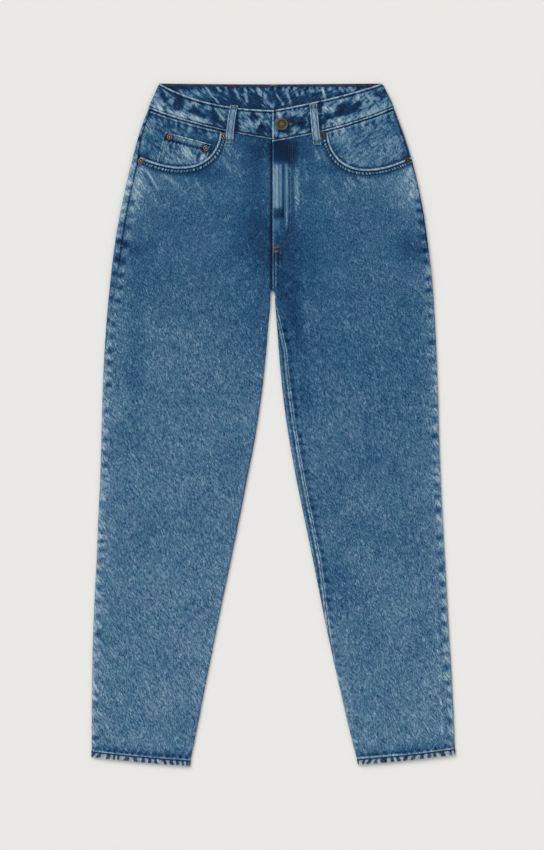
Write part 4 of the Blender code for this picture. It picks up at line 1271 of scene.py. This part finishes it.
def plan_points(x, down, z):
    return np.stack(np.broadcast_arrays(x, LENGTH / 2 - down, z), axis=-1).astype(float)


def small_piece(node_name, look, size, grid, form, flip=False):
    """grid holds x, down, the outer face's height and the wall behind it. form holds its relief and tone."""
    x, down, top, wall = grid
    relief, tone = form
    outer = plan_points(x, down, top + relief)
    inner = plan_points(x[FEW], down[FEW], (top + 0 * x)[FEW] - wall)
    cloth(node_name, look, size, outer, shell_arrays(outer, inner, tone, flip))


def rounded(*distances, reach=1.0, drop=0.4):
    """Relief that falls off towards the edges at these distances, like a turned edge."""
    return -drop * sum(fade(distance, reach) for distance in distances)


# %% The coin pocket
COIN_CORNER = (-162.5, 73.0)
COIN_WIDTH, COIN_DEPTH, COIN_WALL = 70, 62, 1.0
COIN_SLOPE = math.radians(15.2)
COIN_HEM = 9.0
LAYER_GAP = 0.3
COIN_ALONG = np.array((math.cos(COIN_SLOPE), math.sin(COIN_SLOPE)))
COIN_DOWNWARDS = np.array((-math.sin(COIN_SLOPE), math.cos(COIN_SLOPE)))
COIN_TAPER = 2.4
COIN_TEETH, COIN_TWIST = uneven_wave(91, 120, 5.5), uneven_wave(97, 120, 4)
COIN_RIVETS = (RIVETS["rivet_coin_outer"], RIVETS["rivet_coin_inner"])
COIN_CREASES = (
    (12, 13, 14, 30, 3, -20), (20, 11, 24, 22, 3, -18), (58, 14, 56, 30, 3, -26), (50, 14, 50, 22, 3, -16),
    (64, 16, 62, 30, 2.5, 22), (8, 14, 9, 34, 2, 18), (34, 12, 40, 18, 4, 14), (44, 30, 40, 40, 6, -14),
)


def coin_place(p, q):
    """x and down from the distances along the coin pocket's hem and below it."""
    return (COIN_CORNER[0] + p * COIN_ALONG[0] + q * COIN_DOWNWARDS[0],
            COIN_CORNER[1] + p * COIN_ALONG[1] + q * COIN_DOWNWARDS[1])


def coin_top(down):
    return surface_top(down) - facing_depth(LEFT, down) + LAYER_GAP + COIN_WALL


def coin_form(p, q):
    """The coin pocket's relief and tone: its hem is doubled, and its sides are turned under and sewn."""
    x, down = coin_place(p, q)
    below = q - COIN_HEM
    teeth, hem = COIN_TEETH(p), smoothstep(-below / 0.8)
    rows = lines(q, (2.0, 0.6, 1)) + lines(below, (-1.8, 0.6, 1))
    sides = lines(p, (2, 0.6, 1), (COIN_WIDTH - 2, 0.6, 1), (8, 0.6, 1)) * (below > 0)
    relief = 0.45 * hem - 0.3 * rows - 0.25 * sides + rounded(p + 1, COIN_WIDTH - p, q, reach=0.6)
    relief += teeth * lines(below, (3, 3, 0.14))
    tone = 92 + 36 * bell(np.hypot((p - 38) / 20, (q - 25) / 15)) + 2.0 * creases(p, q, COIN_CREASES)
    tone += (4 + 22 * COIN_TWIST(p + 0.5 * q)) * hem - 56 * rows - 34 * sides
    # The second term, a dark line just below the hem, is painted shade under the hem's fold.
    tone += teeth * lines(below, (3.5, 2.5, 44)) + lines(below, (1.2, 1.7, -66))
    tone += lines(q, (0.4, 1.0, 64)) + lines(p, (0.3, 1.4, 26), (COIN_WIDTH - 0.6, 1.4, 36))
    for place_x, place_down in COIN_RIVETS:
        tone += lines(np.hypot(x - place_x, down - place_down), (5.4, 2.0, -50))
    # Painted shadow: the pocket darkens towards the opening's edge, under the front's roped hem.
    to_opening = scoop_down(LEFT, x) - down
    tone -= 34 * smoothstep((6 - to_opening) / 6)
    flat = np.where(relief > 0, keep_flat(x, down, COIN_RIVETS), 1)
    return np.maximum(np.minimum(relief * flat, 0.15 + smoothstep(to_opening / 5)), -0.6), tone


p, q = np.meshgrid(spaced(COIN_WIDTH, 1.0, 0.35, 2), spaced(COIN_DEPTH, 1.1, 0.35, 3))
p -= COIN_TAPER * q / COIN_DEPTH * (1 - p / COIN_WIDTH)
x, down = coin_place(p, q)
small_piece("coin_pocket", TRIM_DENIM, (0.072, 0.064), (x, down, coin_top(down), COIN_WALL),
            coin_form(p, q))

# %% Belt loops
LOOP_WIDTH, LOOP_WALL, LOOP_RISE = 11.5, 1.5, 2.0
LOOP_STITCH = LOOP_WIDTH / 2 - 2.2
LOOP_LENGTH, BACK_LOOP_LENGTH = 58, 52
# Each front loop: x and down of its upper end, then of its lower end, and its bow sideways.
FRONT_LOOPS = {LEFT: (-59.8, 33, -66.8, 90, -1.4), RIGHT: (58.8, 31, 65, 92, -0.6)}
BACK_LOOP_SEEDS = {"left": 103, "centre": 105, "right": 106}
BACK_LOOP_TOP = 2
BACK_LIFT = 0.15


def loop_place(side, a, share):
    """x, down and height of a place across and along a front loop."""
    top_x, top_down, low_x, low_down, bow = FRONT_LOOPS[side]
    down = top_down + (low_down - top_down) * share
    x = top_x + (low_x - top_x) * share + bow * 4 * share * (1 - share) + a
    rise = LOOP_RISE * np.sin(np.pi * np.clip(share, 0, 1)) ** 0.7
    return x, down, surface_top(down) + BAND_PROUD + LAYER_GAP + LOOP_WALL + rise


def loop_form(seed, a, share, length):
    """A loop is folded in three and sewn along both edges; its middle is rubbed pale."""
    edge = LOOP_WIDTH / 2 - np.abs(a)
    streaks = uneven_wave(seed, 80, 12)(share * length + 2 * a)
    ends = np.minimum(share, 1 - share) * length
    relief = lines(a, (0, 2.2, 0.25)) + lines(edge, (2.2, 0.55, -0.35))
    relief += rounded(edge, ends, reach=0.5, drop=0.45)
    tone = 124 + 12 * streaks + lines(edge, (0.8, 1.0, 26), (2.2, 0.55, -44)) + lines(a, (0, 1.4, 12))
    return np.maximum(relief, -0.7), tone + lines(ends, (5.0, 1.8, -50), (0, 1.2, 20))


def loop_grid(length):
    across = spaced(LOOP_WIDTH, 0.7, 0.3, 0.8) - LOOP_WIDTH / 2
    return np.meshgrid(across, spaced(length, 1.2, 0.4, 2) / length)


for side in (LEFT, RIGHT):
    a, share = loop_grid(LOOP_LENGTH)
    form = loop_form(101 + side, a, share, LOOP_LENGTH)
    small_piece(f"loop_front_{SIDE_NAME[side]}", LOOP_DENIM, (0.0115, 0.058),
                (*loop_place(side, a, share), LOOP_WALL), form)
for name, loop_x in BACK_LOOP_X.items():
    a, share = loop_grid(BACK_LOOP_LENGTH)
    relief, tone = loop_form(BACK_LOOP_SEEDS[name], a, share, BACK_LOOP_LENGTH)
    small_piece(f"loop_back_{name}", LOOP_DENIM, (0.0115, 0.052),
                (loop_x + a, BACK_LOOP_TOP + BACK_LOOP_LENGTH * share, BACK_LIFT, BACK_LIFT - LOOP_WALL),
                (-0.6 * relief, tone), flip=True)

# %% Back pockets
BACK_POCKET_X, BACK_POCKET_TOP = 92, 122
BACK_POCKET_WIDTHS, BACK_POCKET_DEPTH, BACK_POCKET_POINT = (140, 122), 130, 20
BACK_POCKET_WALL = 1.5


def back_pocket_half(share):
    return np.interp(share, (0, 1), BACK_POCKET_WIDTHS) / 2


def back_pocket_place(side, a, share):
    """x and down of a place on a back pocket. a runs from -1 to 1 across it."""
    point = BACK_POCKET_POINT * share ** 3 * np.clip(1 - np.abs(a), 0, 1)
    down = BACK_POCKET_TOP + BACK_POCKET_DEPTH * share + point
    return side * BACK_POCKET_X + a * back_pocket_half(share), down


def back_pocket_form(side, a, share):
    """The relief and tone of a back pocket's outer face, which lies underneath."""
    half = back_pocket_half(share)
    edge, top, foot = (1 - np.abs(a)) * half, share * BACK_POCKET_DEPTH, (1 - share) * BACK_POCKET_DEPTH
    wave = uneven_wave(111 + side, 200, 11)
    around = np.minimum(edge, foot)
    rows = lines(around, (2, 0.7, 1), (8, 0.7, 1)) + lines(top, (12, 0.8, 1))
    puckers = wave(top) * lines(edge, (5, 4, 14)) + wave(a * half + 100) * lines(foot, (5, 4, 14))
    relief = -0.15 - 0.22 * rows + rounded(edge, top, foot, reach=0.8, drop=0.3)
    tone = 90 + 12 * bell(np.hypot(a * 1.4, share * 2 - 1)) - 24 * rows + puckers
    return -relief, tone + lines(np.minimum(around, top), (0.6, 0.9, 30))


for side in (LEFT, RIGHT):
    line = spaced(BACK_POCKET_DEPTH, 2.2, 0.5, 4) / BACK_POCKET_DEPTH
    a, share = np.meshgrid(2 * line - 1, line)
    small_piece(f"back_pocket_{SIDE_NAME[side]}", LEG_DENIM, (0.136, 0.142),
                (*back_pocket_place(side, a, share), 0, -BACK_POCKET_WALL),
                back_pocket_form(side, a, share), flip=True)

# %% The shield behind the fly
SHIELD_X, SHIELD_DOWN, SHIELD_WALL = (-10, 33), (92, 240), 1.2

SHIELD_WIDTH, SHIELD_HEIGHT = SHIELD_X[1] - SHIELD_X[0], SHIELD_DOWN[1] - SHIELD_DOWN[0]
x, down = np.meshgrid(spaced(SHIELD_WIDTH, 2.0, 0.5, 3) + SHIELD_X[0],
                      spaced(SHIELD_HEIGHT, 2.4, 0.5, 3) + SHIELD_DOWN[0])
relief = rounded(x - SHIELD_X[0], SHIELD_X[1] - x, down - SHIELD_DOWN[0], SHIELD_DOWN[1] - down, drop=0.3)
small_piece("fly_shield", BAND_DENIM, (0.043, 0.148),
            (x, down, surface_top(down) - CLOTH - LAYER_GAP, SHIELD_WALL),
            (relief, 62 + 10 * uneven_wave(121, 160, 12)(down)))

# %% [markdown]
# ## Metal
#
# The button and the rivets are stamped from brass and copper, then tumbled with the jeans in the wash. Their
# high edges are rubbed bright and their hollows have gone brown, so the metal's colour follows its height.

# %% Aged metal
metal_group, given, gives = new_group("aged metal", {
    "Rub": 0.5, "Bright": linear(196, 160, 104), "Dull": linear(74, 60, 40)})
spots = noise(given["Vector"], 0, (0.0016, 0.0016, 0.0016), 3)
rubbed = given["Rub"] + (spots - 0.5) * 0.9
feed(gives["Color"], mixed("MIX", between(rubbed, 0.1, 0.9), given["Dull"], given["Bright"]))
feed(gives["Roughness"], 0.62 - rubbed * 0.25)
feed(gives["Height"], spots)


def metal(name, bright, dull):
    settings = {"Rub": "tone", "Bright": linear(*bright), "Dull": linear(*dull)}
    return material(name, metal_group, settings, (0.25, 0.0002), Metallic=0.75)


BUTTON_METAL = metal("button bronze", (108, 100, 78), (56, 50, 38))
RIVET_METAL = metal("rivet copper", (176, 156, 124), (62, 46, 34))
BROWN_METAL = metal("browned copper", (112, 88, 68), (40, 32, 28))
print("metals:", BUTTON_METAL.name, RIVET_METAL.name, BROWN_METAL.name)

# %% Turned pieces


def turned(profile, steps):
    """A profile of (radius, height, rub) rows swept round z as a closed surface. Its first and last rows
    are on the axis, and become single points."""
    profile = np.array(profile, float)
    turn = np.arange(steps) * 2 * math.pi / steps
    rings = profile[1:-1]
    radius, height = rings[:, :1], rings[:, 1:2] + 0 * turn
    points = np.stack([radius * np.cos(turn), radius * np.sin(turn), height], axis=-1)
    points = np.concatenate([[[0, 0, profile[0, 1]]], points.reshape(-1, 3), [[0, 0, profile[-1, 1]]]])
    tones = np.concatenate([profile[:1, 2], np.repeat(rings[:, 2], steps), profile[-1:, 2]])
    index = 1 + np.arange(len(rings) * steps).reshape(len(rings), steps)
    after = np.roll(index, -1, axis=1)
    quads = np.stack([index[:-1], index[1:], after[1:], after[:-1]], axis=-1).reshape(-1, 4)
    first = np.stack([0 * index[0], index[0], after[0]], axis=-1)
    last = np.stack([0 * index[0] + len(points) - 1, after[-1], index[-1]], axis=-1)
    return points, [quads, first, last], tones


def set_at(node_name, look, part, x, down, z):
    """Sets a turned piece on the cloth, its axis upright."""
    points, faces, tones = part
    made = mesh_from("metal_" + node_name, look, points + (x, LENGTH / 2 - down, z), faces, tones)
    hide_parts(node_name)


RIVET_PROFILE = (
    (0, 1.5, 1.0), (0.8, 1.46, 0.7), (1.3, 1.25, 0.2), (1.6, 0.8, 0.0), (2.1, 0.62, 0.0), (2.7, 0.75, 0.0),
    (3.2, 0.95, 0.4), (3.7, 0.9, 0.6), (4.05, 0.65, 0.4), (4.2, 0.3, 0.2), (4.2, 0.04, 0.0), (4.1, 0, 0.0),
    (0, 0, 0.0),
)
BUTTON_PROFILE = (
    (0, 3.55, 0.8), (1.0, 3.52, 0.7), (1.9, 3.42, 0.5), (2.4, 3.2, 0.1), (2.8, 3.12, 0.0), (3.3, 3.25, 0.5),
    (3.7, 3.3, 0.6), (4.1, 3.18, 0.1), (5.2, 3.12, 0.1), (6.2, 3.16, 0.1), (6.6, 3.38, 0.3),
    (7.0, 3.72, 0.5), (7.6, 3.88, 0.6), (8.3, 3.84, 0.5), (9.0, 3.6, 0.3), (9.4, 3.25, 0.2),
    (9.5, 2.85, 0.1), (9.35, 2.45, 0.0), (8.6, 2.15, 0.0), (6.0, 1.75, 0.0), (4.4, 1.5, 0.0),
    (4.2, 1.2, 0.0), (4.2, 0.04, 0.0), (4.1, 0, 0.0), (0, 0, 0.0),
)
for name, (x, down) in RIVETS.items():
    seat = coin_top(down) if "coin" in name else surface_top(down)
    look = BROWN_METAL if "right" in name else RIVET_METAL
    set_at(name, look, turned(RIVET_PROFILE, 32), x, down, seat + LAYER_GAP)
seat = surface_top(BUTTON_PLACE[1]) + BAND_PROUD
set_at("button", BUTTON_METAL, turned(BUTTON_PROFILE, 64), *BUTTON_PLACE, seat + LAYER_GAP)
print("button and", len(RIVETS), "rivets")

# %% [markdown]
# ## Sewing
#
# Every seam is sewn with separate stitches. A stitch is a small capsule of thread, 2.6 mm long, sunk
# in the trough that its pull has made. Short dense bars lock the ends of seams that carry load.

# %% Thread
thread_group, given, gives = new_group("twisted thread", {
    "Tint": 0.5, "Light": (1, 1, 1, 1), "Dark": (0, 0, 0, 1)})
plies = pattern("ShaderNodeTexWave", given["Vector"], "Fac", Scale=1.2)
plies.socket.node.bands_direction = "DIAGONAL"
feed(gives["Color"], mixed("MIX", plies * 0.35 + given["Tint"] * 0.65, given["Dark"], given["Light"]))
feed(gives["Roughness"], 0.7)
feed(gives["Height"], plies)


def thread(name, light, dark):
    settings = {"Tint": "tone", "Light": linear(*light), "Dark": linear(*dark)}
    return material(name, thread_group, settings, (0.3, 0.0001), uv_map="thread")


NAVY_THREAD = thread("navy thread", (58, 66, 88), (20, 28, 50))
BROWN_THREAD = thread("brown thread", (112, 86, 76), (58, 44, 50))
FADED_THREAD = thread("faded thread", (96, 92, 94), (44, 50, 66))
RUST_THREAD = thread("rust thread", (140, 100, 64), (80, 54, 42))
ROSE_THREAD = thread("rose thread", (166, 142, 144), (92, 78, 92))
print("threads:", NAVY_THREAD.name, BROWN_THREAD.name, FADED_THREAD.name, RUST_THREAD.name, ROSE_THREAD.name)

# %% Stitches from a path
STITCH_LENGTH, STITCH_PITCH = 2.6, 3.4
THREAD_RADIUS = 0.34
CAPSULE = np.array([(-0.5, 0.35), (-0.4, 0.85), (-0.14, 1), (0.14, 1), (0.4, 0.85), (0.5, 0.35)])
CAPSULE_SIDES = 5
FINE = {"pitch": 3.0, "length": 2.3}
UP, UNDER = (0.0, 0.0, 1.0), (0.0, 0.0, -1.0)


def run(points, normals=UP, pitch=STITCH_PITCH, length=STITCH_LENGTH, across=False, radius=THREAD_RADIUS):
    """Stitches along a path at an even pitch: centres, directions, normals, and their length and radius.
    Across, each is turned square to the path."""
    s = np.concatenate([[0], np.cumsum(np.linalg.norm(np.diff(points, axis=0), axis=1))])
    count = max(int(s[-1] / pitch), 1)
    places = (np.arange(count) + 0.5) * s[-1] / count

    def along(values, where):
        columns = np.broadcast_to(values, points.shape).T
        return np.stack([np.interp(where, s, column) for column in columns], axis=-1)
    up = along(normals, places)
    up /= np.linalg.norm(up, axis=1, keepdims=True)
    way = along(points, places + 0.5) - along(points, places - 0.5)
    way -= up * (way * up).sum(axis=1, keepdims=True)
    way /= np.linalg.norm(way, axis=1, keepdims=True)
    if across:
        way = np.cross(up, way)
    return along(points, places), way, up, np.full(count, length), np.full(count, radius)


def sew(name, runs, look):
    """One mesh of all the stitches in these runs: each capsule's rings are swept from one template."""
    at, way, up, length, radius = (np.concatenate([r[k] for r in runs]) for k in range(5))
    turn = np.arange(CAPSULE_SIDES) * 2 * math.pi / CAPSULE_SIDES
    t, wide = CAPSULE[:, 0][:, None], CAPSULE[:, 1][:, None]
    side = np.cross(way, up)
    along = length[:, None, None] * (t + 0 * turn)
    out = radius[:, None, None] * (wide * np.cos(turn))
    high = radius[:, None, None] * (0.8 * wide * np.sin(turn) + 0.25 - 2.6 * np.maximum(t * t - 0.04, 0))
    points = (at[:, None, None] + along[..., None] * way[:, None, None]
              + out[..., None] * side[:, None, None] + high[..., None] * up[:, None, None])
    points[..., 2] = np.maximum(points[..., 2], FLOOR_CLEAR)
    rings, sides = len(CAPSULE), CAPSULE_SIDES
    index = np.arange(rings * sides).reshape(rings, sides)
    after = np.roll(index, -1, axis=1)
    quads = np.stack([index[:-1], after[:-1], after[1:], index[1:]], axis=-1).reshape(-1, 4)
    start = (np.arange(len(at)) * rings * sides)[:, None, None]
    caps = np.stack([index[0][::-1], index[-1]])
    rng = np.random.RandomState(len(at))
    tones = np.repeat(rng.uniform(0.2, 0.9, len(at)), rings * sides)
    faces = [(quads + start).reshape(-1, 4), (caps + start).reshape(-1, sides)]
    made = mesh_from(name, look, points.reshape(-1, 3), faces, tones)
    layer = made.data.uv_layers.new(name="thread")
    where = np.zeros(len(made.data.loops), np.int32)
    made.data.loops.foreach_get("vertex_index", where)
    where = where % (rings * sides)
    turns = np.stack([CAPSULE[where // sides, 0] * 4, where % sides / sides], axis=-1)
    layer.data.foreach_set("uv", turns.astype(np.float32).ravel())
    print(f"{name}: {len(at)} stitches")


# %% Paths on the cloth


def on_form(form, side, arc, down):
    """Points and normals along a path on a ring piece, on top of its relief."""
    relief, _ = form(side, arc, down)
    at, above = (cloth_at(side, arc, down, -relief - rise) for rise in (0, 1))
    return at, above - at


def front_line(side, x, down):
    """A path on a front panel from x and down."""
    x, down = np.broadcast_arrays(np.asarray(x, float), np.asarray(down, float))
    return on_form(front_form, side, Ring(side, down).arc(x), down)


def bar(side, start, end, width=2.4):
    """A bar of dense stitches on a front panel, between two places in x and down."""
    x, down = np.linspace(start, end, 12).T
    return run(*front_line(side, x, down), pitch=0.62, length=width, across=True, radius=0.3)


def level_run(x, down, z, normal=UP, **thread):
    """Stitches along a path in x and down at a height."""
    return run(plan_points(x, down, z), normal, **thread)


def crossing(form, side, edge, shift, ends, count=400):
    """Stitches across a panel beside one of its edges, between two arcs of each ring."""
    t = np.linspace(0, 1, count)

    def arc_of(ring):
        start, end = ends(ring)
        return start + (end - start) * t

    def down_of(share, *_):
        return edge_down(edge, share) + shift
    arc, down = settled(side, np.full(t.shape, float(edge[0])), arc_of, down_of)
    return run(*on_form(form, side, arc, down))


def hem_run(form, side, ends):
    return crossing(form, side, HEM_EDGE[SIDE_NAME[side]], (HEM_STITCH - HEM_DEPTH) / DOWN_TO_CLOTH, ends)


# %% Sewing the fronts
sew("stitches_fronts", [hem_run(front_form, side, lambda ring: (ring.side_seam + 1, ring.inner_seam - 1))
                        for side in (LEFT, RIGHT)], NAVY_THREAD)
fly = []
for inset in (FLY_INNER, FLY_OUTER):
    turn = np.linspace(0, math.pi / 2, 60)[1:-4]
    width = FLY_WIDTH - inset
    curve_x = np.concatenate([np.full(80, width), width * np.cos(turn)])
    corner = FLY_END_DOWN - width
    curve_down = np.concatenate([np.linspace(92, corner, 80), corner + width * np.sin(turn)])
    fly.append(run(*front_line(RIGHT, CENTRE_X + curve_x, curve_down), **FINE))
fly += [run(*front_line(RIGHT, CENTRE_X + x, np.linspace(258, 304, 60)), **FINE) for x in (1.8, 6.4)]
sew("stitches_fly", fly, FADED_THREAD)
sew("bars_fly", [bar(RIGHT, (-2.2, 246.8), (7, 244.6), 3.6), bar(RIGHT, (-2.2, 253), (6, 251.6), 3.8),
                 bar(RIGHT, (10.2, 251), (10.2, 256), 1.6)], RUST_THREAD)
side_bars = [bar(LEFT, (-229.5, 243.5), (-226, 244)), bar(RIGHT, (222, 243.5), (218.5, 244))]
sew("bars_sides", side_bars, RUST_THREAD)

# %% Sewing the pocket openings
runs = []
for side in (LEFT, RIGHT):
    for offset in HEM_STITCHES:
        x, down = moved_in(SCOOP_LINE[side], offset).T
        ring = Ring(side, down)
        arc = ring.arc(x * side)
        seam = edge_down(WAIST_SEAM[SIDE_NAME[side]], (ring.outer - x) / ring.width)
        keep = (arc > ring.side_seam + 1.5) & (down > seam + 1)
        at, above = (cloth_at(side, arc[keep], down[keep], depth) for depth in (-0.45, -1.45))
        runs.append(run(at, above - at, **FINE))
sew("stitches_pocket_openings", runs, NAVY_THREAD)

# %% Sewing the waistband
navy, rust, inside = [], [], []
for side, (arc, down, relief) in band_rows.items():
    for edge, upper in ((down[0] + BAND_STITCH, True), (down[-1] - BAND_STITCH, False)):
        pick = (np.abs(down - edge).argmin(axis=0), np.arange(down.shape[1]))
        at, above = (band_points(side, arc[pick], edge, -BAND_PROUD - relief[pick] - rise) for rise in (0, 1))
        fly_part = (at[:, 0] > CENTRE_X) & (at[:, 0] < 58) & (arc[pick] > 0) & (side == RIGHT)
        for part, kept in ((navy, ~fly_part), (navy if upper else rust, fly_part)):
            if kept.any():
                part.append(run(at[kept], (above - at)[kept]))
    back = arc[0] < 0
    at = band_points(side, arc[2, back], down[0, back] + BAND_STITCH, BAND_WALL - BAND_PROUD - 0.3)
    inside.append(run(at, pitch=3.0, length=2.7, radius=0.6))
arc, down, relief = band_rows[RIGHT]
x = cloth_at(RIGHT, arc, down, 0)[..., 0]
end_column = np.abs(np.where(arc > 0, x - CENTRE_X - 3.0, 99)).argmin(axis=1)
rows = np.arange(3, down.shape[0] - 3)
pick = (rows, end_column[rows])
navy.append(run(cloth_at(RIGHT, arc[pick], down[pick], -BAND_PROUD - relief[pick])))
sew("stitches_waistband", navy, NAVY_THREAD)
sew("stitches_waistband_front", rust, RUST_THREAD)
sew("stitches_waistband_inside", inside, BROWN_THREAD)

# %% The buttonhole and the bar inside the back
HOLE_PLACE, HOLE_REACH = (15.5, 61.0), 9.5  # the middle of the hole, and its half length
INSIDE_DROP = 6.4  # how far the inside of the back lies below the front

top = surface_top(HOLE_PLACE[1]) + BAND_PROUD + 0.25
angle = np.linspace(0, 2 * math.pi, 80)
hole_x = HOLE_PLACE[0] + HOLE_REACH * np.cos(angle)
hole_down = HOLE_PLACE[1] + (1.0 + 1.2 * bell((hole_x - 8) / 5)) * np.sin(angle)
inside_top = surface_top(2) - INSIDE_DROP + BAND_WALL - BAND_PROUD + 0.1
sew("buttonhole", [
    level_run(hole_x, hole_down, top, pitch=0.6, length=2.0, across=True, radius=0.28),
    level_run(25.5, np.linspace(59.2, 62.8, 10), top, pitch=0.55, length=2.4, across=True, radius=0.3),
    level_run(np.linspace(-6, 6, 10), 2.4, inside_top, pitch=0.6, length=2.6, across=True, radius=0.35),
], RUST_THREAD)

# %% Sewing the loops
navy, bars = [], []
for side in (LEFT, RIGHT):
    for a in (LOOP_STITCH, -LOOP_STITCH):
        x, down, z = loop_place(side, a, np.linspace(0.02, 0.98, 120))
        navy.append(level_run(x, down, z - 0.2, **FINE))
    for share in (0.035, 0.955):
        x, down, z = loop_place(side, np.linspace(-4.6, 4.6, 12), share)
        bars.append(level_run(x, down, z + 0.05, pitch=0.62, length=3.0, across=True, radius=0.32))
for loop_x in BACK_LOOP_X.values():
    for a in (LOOP_STITCH, -LOOP_STITCH):
        navy.append(level_run(loop_x + a, np.linspace(4, 52, 60), 0.42, UNDER, **FINE))
sew("stitches_loops", navy, NAVY_THREAD)
sew("bars_loops", bars, BROWN_THREAD)

# %% Sewing the coin pocket


def coin_run(p, q):
    p, q = np.broadcast_arrays(p, q)
    x, down = coin_place(p, q)
    return level_run(x, down, coin_top(down) + coin_form(p, q)[0], **FINE)


along, below = np.linspace(7, COIN_WIDTH - 8, 100), np.linspace(COIN_HEM + 1, COIN_DEPTH - 8, 80)
sew("stitches_coin_pocket_hem", [coin_run(along, q) for q in (2.0, COIN_HEM - 1.8)], ROSE_THREAD)
sew("stitches_coin_pocket_sides", [coin_run(p, below) for p in (1.0, 7.0, COIN_WIDTH - 2.0)], NAVY_THREAD)

# %% Sewing the backs


def back_run(side, down, arc_of):
    return run(*on_form(back_form, side, arc_of(Ring(side, down)), down))


def yoke_ends(ring):
    reach = ring.length - ring.fold - 2
    return -ring.fold - 0.01 * reach, -ring.fold - 0.99 * reach


def back_pocket_run(side, a, share):
    x, down = back_pocket_place(side, a, share)
    return level_run(x, down, 0.46, UNDER)


runs = []
line = np.linspace(0.02, 0.98, 120)
for side in (LEFT, RIGHT):
    runs.append(hem_run(back_form, side, lambda ring: (ring.side_seam - 1, ring.back_inner_seam + 1)))
    for off in (SEAM_STITCH, LAP_WIDTH - SEAM_STITCH):
        down = np.linspace(LEGS_CLOSED_DOWN + 4, 1008, 700)
        runs.append(back_run(side, down, lambda ring: ring.back_inner_seam + off))
    for off in (SEAM_STITCH, 8.0):
        runs.append(back_run(side, np.linspace(112, 302, 140), lambda ring: off - ring.length))
    for shift in (2.0, 8.0):
        runs.append(crossing(back_form, side, YOKE_SEAM, shift, yoke_ends, 200))
    if side == LEFT:
        runs.append(back_run(side, np.linspace(118, 243, 120), lambda ring: ring.side_seam - 2.0))
    for inset in (2.0, 8.0):
        for edge in (-1, 1):
            runs.append(back_pocket_run(side, edge * (1 - inset / 66), line * (1 - inset / 130)))
        runs.append(back_pocket_run(side, (2 * line - 1) * (1 - inset / 62), 1 - inset / 130))
    runs.append(back_pocket_run(side, 2 * line - 1, 12 / 130))
sew("stitches_backs", runs, NAVY_THREAD)
